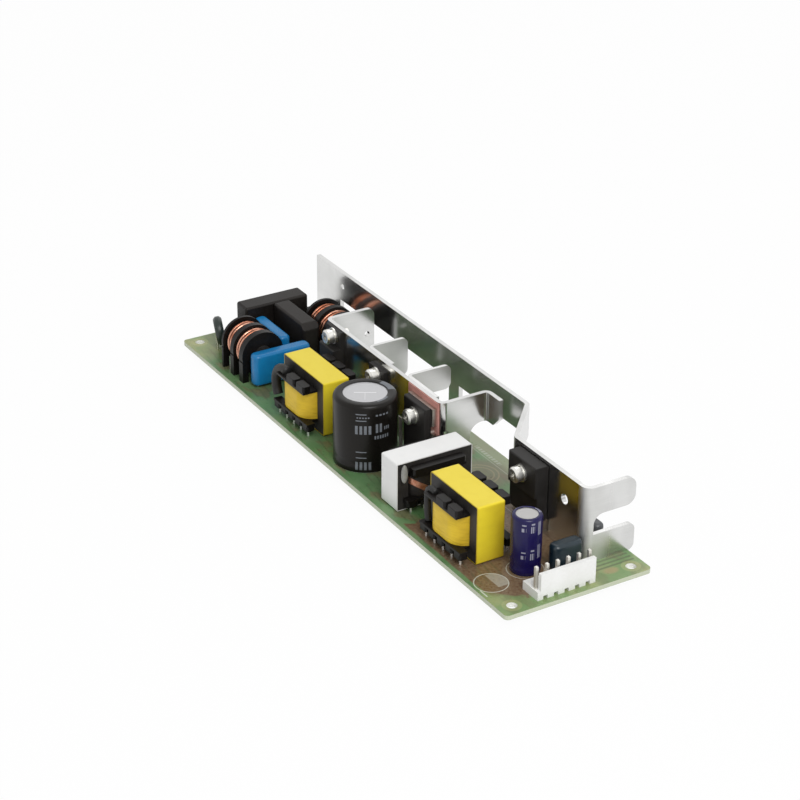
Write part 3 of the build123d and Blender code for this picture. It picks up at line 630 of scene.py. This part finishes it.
def keep(mesh, name, material, slot, *replaced, smooth=True):
    """Turns a bmesh into a piece that rides on the supply."""
    bmesh.ops.recalc_face_normals(mesh, faces=mesh.faces)
    data = bpy.data.meshes.new(name)
    for face in mesh.faces:
        face.smooth = smooth
    mesh.to_mesh(data)
    mesh.free()
    data.materials.append(material)
    piece = link(name, data)
    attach(piece, "root")
    if replaced:
        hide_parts(*replaced)
    return piece


def copy_node(name):
    """A CAD node's shape as a merged bmesh with its flat faces whole again."""
    mesh = bmesh.new()
    mesh.from_mesh(NODES[name].data)
    bmesh.ops.remove_doubles(mesh, verts=mesh.verts, dist=MERGE_DISTANCE)
    bmesh.ops.dissolve_limit(
        mesh, angle_limit=math.radians(1.0), verts=mesh.verts, edges=mesh.edges, delimit=set()
    )
    return mesh


def soften(name, material, slot, width, steps=2, sharp=40.0):
    """Replaces a CAD node with a copy whose edges sharper than an angle are rounded."""
    mesh = copy_node(name)
    edges = [
        edge
        for edge in mesh.edges
        if len(edge.link_faces) == 2 and edge.calc_face_angle() > math.radians(sharp)
    ]
    bmesh.ops.bevel(
        mesh,
        geom=edges,
        offset=width * MM,
        offset_type="OFFSET",
        segments=steps,
        profile=0.5,
        affect="EDGES",
        clamp_overlap=True,
        material=-1,
    )
    keep(mesh, name + "_rounded", material, slot, name, smooth=False)


def melt(name, material, slot, voxel=0.32, rounds=10):
    """Replaces a dipped CAD body with a copy whose skin has run round its edges."""
    piece = keep(copy_node(name), name + "_dipped", material, slot, name)
    remesh = piece.modifiers.new("skin", "REMESH")
    remesh.mode = "VOXEL"
    remesh.voxel_size = voxel * MM
    smooth = piece.modifiers.new("run", "SMOOTH")
    smooth.factor = 0.5
    smooth.iterations = rounds
    graph = bpy.context.evaluated_depsgraph_get()
    skin = bpy.data.meshes.new_from_object(piece.evaluated_get(graph))
    piece.modifiers.clear()
    plain = piece.data
    piece.data = skin
    bpy.data.meshes.remove(plain)
    for face in skin.polygons:
        face.use_smooth = True


def facing(direction):
    """The turn that brings the z axis to a direction, as a matrix."""
    return direction.to_track_quat("Z", "Y").to_matrix().to_4x4()


def add_ring(mesh, centre, axis, radius, wire_radius, steps=56, sides=10):
    """A closed turn of wire round an axis."""
    start = (
        Matrix.Translation(centre)
        @ facing(axis)
        @ Matrix.Translation((radius, 0, 0))
        @ Matrix.Rotation(math.pi / 2, 4, "X")
    )
    circle = bmesh.ops.create_circle(mesh, segments=sides, radius=wire_radius, matrix=start)
    edges = list({edge for vert in circle["verts"] for edge in vert.link_edges})
    bmesh.ops.spin(
        mesh, geom=edges, cent=centre, axis=axis, angle=2 * math.pi, steps=steps, use_merge=True
    )


def smooth_line(points, steps):
    """Places on a smooth line that runs through all the points."""
    line = []
    last = len(points) - 1
    for index in range(last):
        before = points[max(index - 1, 0)]
        start, end = points[index], points[index + 1]
        after = points[min(index + 2, last)]
        for step in range(steps):
            t = step / steps
            line.append(
                0.5
                * (
                    2 * start
                    + (end - before) * t
                    + (2 * before - 5 * start + 4 * end - after) * t * t
                    + (3 * start - before - 3 * end + after) * t ** 3
                )
            )
    return [*line, points[-1]]


def add_tube(mesh, points, radius, sides=12, steps=8):
    """A round bar along a smooth line through the points, with closed ends."""
    line = smooth_line(points, steps)
    heading = (line[1] - line[0]).normalized()
    start = Matrix.Translation(line[0]) @ facing(heading)
    made = bmesh.ops.create_circle(
        mesh, cap_ends=True, segments=sides, radius=radius, matrix=start
    )
    face = made["verts"][0].link_faces[0]
    for index in range(1, len(line)):
        ahead = (line[min(index + 1, len(line) - 1)] - line[index - 1]).normalized()
        swing = heading.rotation_difference(ahead).to_matrix().to_4x4()
        heading = ahead
        made = bmesh.ops.extrude_face_region(mesh, geom=[face])
        verts = [item for item in made["geom"] if isinstance(item, bmesh.types.BMVert)]
        faces = [item for item in made["geom"] if isinstance(item, bmesh.types.BMFace)]
        if index > 1:
            bmesh.ops.delete(mesh, geom=[face], context="FACES_ONLY")
        face = faces[0]
        middle = sum((vert.co for vert in verts), Vector()) / len(verts)
        move = Matrix.Translation(line[index]) @ swing @ Matrix.Translation(-middle)
        bmesh.ops.transform(mesh, matrix=move, verts=verts)


def add_turned(mesh, centre, outline, steps=96):
    """A form turned round an upright axis from an outline of (radius, height) points."""
    verts = [
        mesh.verts.new(centre + Vector((radius, 0, height)) * MM) for radius, height in outline
    ]
    edges = [mesh.edges.new(pair) for pair in zip(verts, verts[1:])]
    bmesh.ops.spin(
        mesh,
        geom=[*verts, *edges],
        cent=centre,
        axis=(0.0, 0.0, 1.0),
        angle=2 * math.pi,
        steps=steps,
        use_merge=True,
    )
    bmesh.ops.remove_doubles(mesh, verts=mesh.verts, dist=MERGE_DISTANCE)


# Settings


class SupplyFinishSettings(bpy.types.PropertyGroup):
    """Colours and small sizes of the dressed supply."""

    tape_yellow: bpy.props.FloatVectorProperty(
        name="Yellow tape",
        description="Colour of the tape on both chokes",
        subtype="COLOR",
        default=(0.84, 0.67, 0.034),
        min=0.0,
        max=1.0,
    )
    coil_yellow: bpy.props.FloatVectorProperty(
        name="Yellow coil",
        description="Colour of the wraps on both choke coils",
        subtype="COLOR",
        default=(0.80, 0.56, 0.035),
        min=0.0,
        max=1.0,
    )
    tape_white: bpy.props.FloatVectorProperty(
        name="White tape",
        description="Colour of the tape on the transformer",
        subtype="COLOR",
        default=(0.86, 0.86, 0.85),
        min=0.0,
        max=1.0,
    )
    dip_blue: bpy.props.FloatVectorProperty(
        name="Blue coating",
        description="Colour of the two dipped line capacitors",
        subtype="COLOR",
        default=(0.004, 0.185, 0.440),
        min=0.0,
        max=1.0,
    )
    copper: bpy.props.FloatVectorProperty(
        name="Copper wire",
        description="Colour of the lacquered wire",
        subtype="COLOR",
        default=(0.64, 0.34, 0.24),
        min=0.0,
        max=1.0,
    )
    choke_wire: bpy.props.FloatProperty(
        name="Choke wire",
        description="Radius of the line choke wire",
        unit="LENGTH",
        default=0.00052,
        min=0.0002,
        max=0.001,
        precision=5,
    )
    choke_pitch: bpy.props.FloatProperty(
        name="Choke pitch",
        description="Distance from turn to turn of the line choke wire",
        unit="LENGTH",
        default=0.00158,
        min=0.0008,
        max=0.002,
        precision=5,
    )
    sleeve_radius: bpy.props.FloatProperty(
        name="Lead sleeve",
        description="Radius of the sleeve on the boost choke's lead",
        unit="LENGTH",
        default=0.00175,
        min=0.0008,
        max=0.002,
        precision=5,
    )


class SupplyStageSettings(bpy.types.PropertyGroup):
    """Camera and light of the stage."""

    azimuth: bpy.props.FloatProperty(
        name="Azimuth",
        description="Camera bearing, from -Y towards +X",
        subtype="ANGLE",
        default=math.radians(58.77),
    )
    elevation: bpy.props.FloatProperty(
        name="Elevation",
        description="Camera height above level",
        subtype="ANGLE",
        default=math.radians(27.45),
    )
    roll: bpy.props.FloatProperty(
        name="Roll",
        description="Turn of the picture about its middle",
        subtype="ANGLE",
        default=math.radians(0.40),
    )
    distance: bpy.props.FloatProperty(
        name="Distance",
        description="Camera distance from the board middle",
        unit="LENGTH",
        default=0.77163,
    )
    lens: bpy.props.FloatProperty(
        name="Lens",
        description="Focal length in millimetres",
        default=100.16,
    )
    world_light: bpy.props.FloatProperty(
        name="World light",
        description="Strength of the even light from all round",
        default=0.52,
    )
    key_power: bpy.props.FloatProperty(
        name="Key light",
        description="Power of the large soft lamp",
        unit="POWER",
        default=8.4,
    )


# Operators


class SUPPLY_OT_board(bpy.types.Operator):
    """Finish the board, its solder, the leads, the packages and the parts under the board"""

    bl_idname = "supply.board"
    bl_label = "Board"

    def execute(self, context):
        dress(board_finish(), "circuit_board")
        solder = plain_finish(
            "solder", (0.60, 0.60, 0.59), (0.70, 0.70, 0.69),
            roughness=0.3, bump=0.01, scale=2.0, metallic=1.0,
        )
        dress(solder, "solder_joints")
        tinned = plain_finish(
            "tinned_lead", (0.70, 0.68, 0.62), (0.80, 0.78, 0.73),
            roughness=0.36, bump=0.003, scale=2.0, metallic=0.9,
        )
        dress(tinned, "wire_leads", "device_leads", "output_header_pins", "input_header_pins")
        bright = plain_finish(
            "bright_pin", (0.86, 0.86, 0.83), (0.92, 0.92, 0.90),
            roughness=0.3, bump=0.003, scale=2.0, metallic=0.6,
        )
        dress(bright, "boost_choke_pins", "main_transformer_pins", "output_choke_pins")
        mould = plain_finish(
            "package_mould", (0.010, 0.009, 0.008), (0.018, 0.016, 0.015),
            roughness=0.55, shine=0.3,
        )
        dress(mould, "control_chips", "fuse")
        for name in (
            "small_device_1",
            "small_device_2",
            "primary_transistor_body",
            "output_rectifier_body",
        ):
            soften(name, mould, "black_mould", width=0.18)
        return {"FINISHED"}


class SUPPLY_OT_heatsinks(bpy.types.Operator):
    """Finish the bent sheets, screws, pads and metal backs, and add the small lug"""

    bl_idname = "supply.heatsinks"
    bl_label = "Heatsinks"

    def execute(self, context):
        sheet = sheet_finish("rolled_aluminium", (0.65, 0.65, 0.64), (0.73, 0.73, 0.72), 0.2)
        dress(sheet, "output_heatsink", "primary_heatsink")
        fin = sheet_finish("matt_fin", (0.66, 0.66, 0.65), (0.72, 0.72, 0.71), 0.36)
        dress(fin, "clamped_fin_1", "clamped_fin_2")
        zinc = plain_finish(
            "zinc_plate", (0.70, 0.69, 0.65), (0.80, 0.79, 0.75),
            roughness=0.36, bump=0.003, scale=1.0, metallic=1.0,
        )
        dress(zinc, "clamping_screws", "spring_washers", "plain_washers")
        salmon = plain_finish(
            "salmon_pad", (0.50, 0.22, 0.185), (0.62, 0.30, 0.26),
            roughness=0.6, shine=0.3,
        )
        dress(salmon, "primary_transistor_pad")
        dark = plain_finish(
            "dark_pad", (0.030, 0.028, 0.026), (0.044, 0.041, 0.038),
            roughness=0.6, shine=0.3,
        )
        dress(dark, "output_rectifier_pad")
        nickel = plain_finish(
            "nickel_back", (0.42, 0.38, 0.34), (0.52, 0.48, 0.44),
            roughness=0.35, metallic=1.0,
        )
        dress(nickel, "primary_transistor_back")
        self.lug()
        return {"FINISHED"}

    @staticmethod
    def lug():
        """The narrow strip that stands beside the large round capacitor."""
        lug = bmesh.new()
        add_tube(lug, [spot(*point) for point in LUG_LINE], 0.00035, sides=4, steps=4)
        foot = spot(LUG_X, 0, 0)
        widen = Matrix.Translation(foot) @ Matrix.Diagonal((4.4, 1.0, 1.0, 1.0))
        bmesh.ops.transform(lug, matrix=widen @ Matrix.Translation(-foot), verts=lug.verts)
        beige = plain_finish(
            "matt_plate", (0.52, 0.49, 0.43), (0.62, 0.59, 0.53),
            roughness=0.5, metallic=0.5,
        )
        keep(lug, "standing_lug", beige, "steel_zinc", smooth=False)


class SUPPLY_OT_wound_parts(bpy.types.Operator):
    """Finish the transformer and the two taped chokes, and lay their sleeved leads"""

    bl_idname = "supply.wound_parts"
    bl_label = "Wound parts"

    def execute(self, context):
        settings = context.scene.supply_finish
        self.tapes(tuple(settings.tape_yellow), tuple(settings.tape_white))
        self.coils(tuple(settings.coil_yellow), tuple(settings.copper))
        mould = plain_finish(
            "bobbin_mould", (0.004, 0.0035, 0.003), (0.009, 0.0075, 0.007),
            roughness=0.4, scale=1.0, shine=0.2,
        )
        for name in ("boost_choke_bobbin", "output_choke_bobbin", "main_transformer_bobbin"):
            soften(name, mould, "black_mould", width=0.22)
        dress(mould, "line_choke_1_bobbin", "line_choke_2_bobbin")
        ferrite = plain_finish(
            "ferrite", (0.020, 0.018, 0.017), (0.036, 0.033, 0.031),
            roughness=0.5, bump=0.01, shine=0.3,
        )
        dress(ferrite, "boost_choke_core", "output_choke_core", "main_transformer_core")
        dress(ferrite, "line_choke_1_rod", "line_choke_2_rod")
        self.swung_sleeves(settings.sleeve_radius)
        self.hanging_sleeve()
        return {"FINISHED"}

    @staticmethod
    def tapes(yellow, white):
        """The bands of film tape round the three cores."""
        # Darker copy of the yellow tape, used for painted shade.
        shade = tinted(yellow, 0.60, 0.53, 0.5)
        for name in ("boost_choke", "output_choke"):
            film = tape_finish(name + "_film", yellow, shade, name + "_tape", across_y=True)
            soften(name + "_tape", film, "yellow_tape", width=0.35, steps=3)
        # Darker copy of the white tape, used for painted shade.
        white_in_shade = tinted(white, 0.8, 0.8, 0.8)
        film = tape_finish("white_film", white, white_in_shade, "main_transformer_tape", across_y=False)
        soften("main_transformer_tape", film, "white_tape", width=0.35, steps=3)

    @staticmethod
    def coils(yellow, copper):
        """The wrapped coils of the three parts."""
        for name in ("boost_choke_coil", "output_choke_coil"):
            # Darker copy of the coil yellow, used for painted shade.
            shade = tinted(yellow, 0.55, 0.48, 0.5)
            dress(coil_finish(name + "_wraps", yellow, shade, name), name)
        dress(wedge_coil_finish(copper, tinted(copper, 0.8, 0.6, 0.5)), "main_transformer_coil")

    @staticmethod
    def swung_sleeves(radius):
        """The lead sleeves that swing out on both chokes."""
        tube = plain_finish(
            "lead_sleeve", (0.014, 0.014, 0.014), (0.026, 0.026, 0.025),
            roughness=0.48, scale=0.8, shine=0.3,
        )
        leads = bmesh.new()
        for line, share in ((BOOST_SLEEVE, 1.0), (OUTPUT_SLEEVE, OUTPUT_SLEEVE_SHARE)):
            add_tube(leads, [spot(x, SLEEVE_ROW, z) for x, z in line], radius * share)
        keep(leads, "swung_lead_sleeves", tube, "black_sleeve", "sleeved_leads")

    @staticmethod
    def hanging_sleeve():
        """The short sleeve that hangs beside the transformer's tape."""
        pale = plain_finish(
            "grey_sleeve", (0.22, 0.22, 0.20), (0.30, 0.30, 0.28),
            roughness=0.45, shine=0.4,
        )
        low, high = node_box("main_transformer_tape")
        place = Matrix.Translation(spot(high.x + 1.0, low.y + 2.2, 14.2))
        hanging = bmesh.new()
        bmesh.ops.create_uvsphere(hanging, u_segments=20, v_segments=12, radius=0.00120)
        bmesh.ops.transform(
            hanging, matrix=place @ Matrix.Diagonal((0.8, 1.0, 2.8, 1.0)), verts=hanging.verts
        )
        keep(hanging, "hanging_lead_sleeve", pale, "black_sleeve")


class SUPPLY_OT_line_chokes(bpy.types.Operator):
    """Wind the line chokes turn by turn"""

    bl_idname = "supply.line_chokes"
    bl_label = "Line chokes"

    def execute(self, context):
        settings = context.scene.supply_finish
        copper = wire_finish("copper_wire", tuple(settings.copper), (0.34, 0.12, 0.065))
        for name in ("line_choke_1", "line_choke_2"):
            winding = bmesh.new()
            self.wind(winding, name, settings.choke_wire, settings.choke_pitch)
            keep(winding, name + "_turns", copper, "copper_wire", name + "_winding")
        return {"FINISHED"}

    @staticmethod
    def wind(winding, name, radius, pitch):
        """Three layers of turns in each band, the middle one a turn shorter."""
        low, high = (Vector(corner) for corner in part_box(name + "_winding"))
        drum_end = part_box(name + "_bobbin")[0][0]
        middle = (low + high) / 2
        for start, length, sunk in CHOKE_BANDS:
            outer = (high.z - low.z) / 2 - sunk - radius
            turns = int((length - 2 * radius) / pitch) + 1
            band_middle = drum_end + start + length / 2
            for layer, count in enumerate((turns, turns - 1, turns)):
                for turn in range(count):
                    x = band_middle + (turn - (count - 1) / 2) * pitch
                    add_ring(
                        winding,
                        Vector((x, middle.y, middle.z)),
                        Vector((1, 0, 0)),
                        outer - layer * radius * LAYER_STEP,
                        radius,
                    )


class SUPPLY_OT_capacitors(bpy.types.Operator):
    """Finish the box, dipped, round and disc parts"""

    bl_idname = "supply.capacitors"
    bl_label = "Capacitors"

    def execute(self, context):
        case = plain_finish(
            "box_case", (0.008, 0.006, 0.005), (0.015, 0.012, 0.010),
            roughness=0.5, scale=1.0, shine=0.25,
        )
        for name in ("line_capacitor_1", "line_capacitor_2"):
            soften(name, case, "black_mould", width=0.45, steps=3)
        self.dipped(tuple(context.scene.supply_finish.dip_blue))
        black = sleeve_finish(
            "black_shrink",
            tones=((0.005, 0.0042, 0.0035), (0.010, 0.0085, 0.007)),
            roughness=0.3,
            shine=0.2,
            centre=BULK_CENTRE,
            top=25.5,
            marks=BULK_MARKS,
            fields=BULK_FIELDS,
            ink=(0.24, 0.26, 0.29),
        )
        self.shrunk_sleeve(
            "bulk_capacitor", "black_sleeve", black, opening=BULK_LID, rim=1.5, crimp_height=3.4
        )
        violet = sleeve_finish(
            "violet_shrink",
            tones=((0.006, 0.0035, 0.056), (0.010, 0.006, 0.076)),
            roughness=0.24,
            shine=0.3,
            centre=OUTPUT_CENTRE,
            top=20.4,
            marks=OUTPUT_MARKS,
            fields=OUTPUT_FIELDS,
            ink=(0.42, 0.42, 0.50),
        )
        self.shrunk_sleeve(
            "output_capacitor", "violet_sleeve", violet, opening=OUTPUT_LID, rim=1.0,
            crimp_height=3.2,
        )
        lid = can_finish("bulk_can", BULK_CENTRE, BULK_LID, (0.49, 0.49, 0.50), scored=True)
        dress(lid, "bulk_capacitor_can")
        lid = can_finish("output_can", OUTPUT_CENTRE, OUTPUT_LID, (0.44, 0.43, 0.42), scored=False)
        dress(lid, "output_capacitor_can")
        return {"FINISHED"}

    @staticmethod
    def dipped(blue):
        """The dipped capacitors and the disc."""
        blue_dip = plain_finish(
            "blue_dip", blue, tinted(blue, 0.8, 0.8, 0.85),
            roughness=0.34, scale=0.5, shine=0.4,
        )
        for name in ("film_capacitor_1", "film_capacitor_2"):
            melt(name, blue_dip, "blue_coat")
        teal_dip = plain_finish(
            "teal_dip", (0.008, 0.019, 0.027), (0.014, 0.028, 0.038),
            roughness=0.3, bump=0.01, scale=0.5,
        )
        melt("film_capacitor_3", teal_dip, "teal_coat")
        dull_dip = plain_finish(
            "dull_dip", (0.075, 0.080, 0.085), (0.105, 0.110, 0.115),
            roughness=0.4, bump=0.01, scale=0.5,
        )
        melt("film_capacitor_4", dull_dip, "teal_coat")
        green_dip = plain_finish(
            "green_dip", (0.006, 0.012, 0.010), (0.012, 0.022, 0.017),
            roughness=0.34, bump=0.02, scale=0.6,
        )
        melt("surge_disc", green_dip, "green_coat", voxel=0.25, rounds=6)

    @staticmethod
    def shrunk_sleeve(name, slot, finish, opening, rim, crimp_height, crimp=0.2):
        """A sleeve with a rounded rim round its opening and a shallow crimp near its foot."""
        low, high = node_box(name + "_sleeve")
        radius = (high.x - low.x) / 2
        height = high.z - low.z
        outline = [(opening, height - 0.12), (opening + 0.15, height)]
        for step in range(RIM_STEPS + 1):
            turn = math.radians(90 * step / RIM_STEPS)
            in_by = rim * (1 - math.sin(turn))
            down_by = rim * (1 - math.cos(turn))
            outline.append((radius - in_by, height - down_by))
        outline += [
            (radius, crimp_height + 1.5),
            (radius - crimp * 0.35, crimp_height + 0.8),
            (radius - crimp, crimp_height),
            (radius - crimp * 0.35, crimp_height - 0.8),
            (radius, crimp_height - 1.5),
            (radius, 0.5),
            (radius - 0.2, 0.12),
            (radius - 0.9, 0.02),
        ]
        form = bmesh.new()
        centre = spot((low.x + high.x) / 2, (low.y + high.y) / 2, low.z)
        add_turned(form, centre, outline)
        keep(form, name + "_shrunk_sleeve", finish, slot, name + "_sleeve")


class SUPPLY_OT_headers(bpy.types.Operator):
    """Finish the housings of both pin headers"""

    bl_idname = "supply.headers"
    bl_label = "Headers"

    def execute(self, context):
        nylon = plain_finish(
            "white_nylon", (0.80, 0.80, 0.78), (0.85, 0.85, 0.84),
            roughness=0.42, scale=1.0, shine=0.35,
        )
        dress(nylon, "output_header_housing", "input_header_housing")
        return {"FINISHED"}


class SUPPLY_OT_stage(bpy.types.Operator):
    """Set the floor, the lights and the camera"""

    bl_idname = "supply.stage"
    bl_label = "Stage"

    def execute(self, context):
        scene = context.scene
        settings = scene.supply_stage
        self.floor()
        self.world(scene, settings.world_light)
        self.lamp("key_light", (0.84, -0.18, 0.88), size=0.7, power=settings.key_power)
        self.lamp("back_light", (-0.5, 0.5, 0.9), size=0.6, power=1.2)
        self.camera(scene, settings)
        scene.view_settings.view_transform = "Standard"
        return {"FINISHED"}

    @staticmethod
    def floor():
        """A wide pale floor, just under the lead ends."""
        ground = bmesh.new()
        bmesh.ops.create_grid(ground, x_segments=1, y_segments=1, size=FLOOR_SIZE)
        data = bpy.data.meshes.new("floor")
        ground.to_mesh(data)
        ground.free()
        data.materials.append(floor_finish())
        floor = link("floor", data)
        floor.location.z = -FLOOR_DROP

    @staticmethod
    def world(scene, strength):
        """Even light from all round, and plain white where it is seen."""
        scene.world = bpy.data.worlds.new("even_light")
        scene.world.use_nodes = True
        sky = Graph(scene.world.node_tree)
        light, plain = (
            sky.node("ShaderNodeBackground", None, {"Color": WHITE, "Strength": value}).outputs[0]
            for value in (strength, 1.0)
        )
        mixed = sky.mix_shaders(sky.seen_plainly(), light, plain)
        sky.node("ShaderNodeOutputWorld", None, {"Surface": mixed})

    @staticmethod
    def lamp(name, place, size, power):
        """A soft round lamp that faces the board middle."""
        data = bpy.data.lights.new(name, "AREA")
        data.shape = "DISK"
        data.size = size
        data.energy = power
        lamp = link(name, data)
        lamp.location = place
        lamp.rotation_euler = (Vector(place) - MIDDLE).to_track_quat("Z", "Y").to_euler()

    @staticmethod
    def camera(scene, settings):
        """Camera that looks at the board middle from the settings' bearing."""
        bearing, height, roll = settings.azimuth, settings.elevation, settings.roll
        level = Vector((math.cos(bearing), math.sin(bearing), 0.0))
        back = Vector((
            math.sin(bearing) * math.cos(height),
            -math.cos(bearing) * math.cos(height),
            math.sin(height),
        ))
        upward = back.cross(level)
        right = level * math.cos(roll) + upward * math.sin(roll)
        up = upward * math.cos(roll) - level * math.sin(roll)
        place = MIDDLE + right * AIM[0] * MM + up * AIM[1] * MM + back * settings.distance
        data = bpy.data.cameras.new("camera")
        data.sensor_width = 36.0
        data.lens = settings.lens
        data.clip_start = 0.01
        camera = link("camera", data)
        turned = Matrix((right, up, back)).transposed().to_4x4()
        camera.matrix_world = Matrix.Translation(place) @ turned
        scene.camera = camera


class SUPPLY_PT_panel(bpy.types.Panel):
    """Lists the settings and the operators of the supply"""

    bl_label = "Power supply"
    bl_idname = "SUPPLY_PT_panel"
    bl_space_type = "VIEW_3D"
    bl_region_type = "UI"
    bl_category = "Supply"

    def draw(self, context):
        layout = self.layout
        for group in (context.scene.supply_finish, context.scene.supply_stage):
            for name in group.__annotations__:
                layout.prop(group, name)
        for step in STEPS:
            layout.operator(step.bl_idname)


STEPS = (
    SUPPLY_OT_board,
    SUPPLY_OT_heatsinks,
    SUPPLY_OT_wound_parts,
    SUPPLY_OT_line_chokes,
    SUPPLY_OT_capacitors,
    SUPPLY_OT_headers,
    SUPPLY_OT_stage,
)
CLASSES = (SupplyFinishSettings, SupplyStageSettings, *STEPS, SUPPLY_PT_panel)


def register():
    """Registers the settings, the operators and the panel."""
    for entry in CLASSES:
        bpy.utils.register_class(entry)
    bpy.types.Scene.supply_finish = bpy.props.PointerProperty(type=SupplyFinishSettings)
    bpy.types.Scene.supply_stage = bpy.props.PointerProperty(type=SupplyStageSettings)


def unregister():
    """Takes back what register has done."""
    del bpy.types.Scene.supply_stage
    del bpy.types.Scene.supply_finish
    for entry in reversed(CLASSES):
        bpy.utils.unregister_class(entry)


def main():
    """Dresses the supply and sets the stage."""
    register()
    bpy.ops.supply.board()
    bpy.ops.supply.heatsinks()
    bpy.ops.supply.wound_parts()
    bpy.ops.supply.line_chokes()
    bpy.ops.supply.capacitors()
    bpy.ops.supply.headers()
    bpy.ops.supply.stage()


if __name__ == "__main__":
    main()
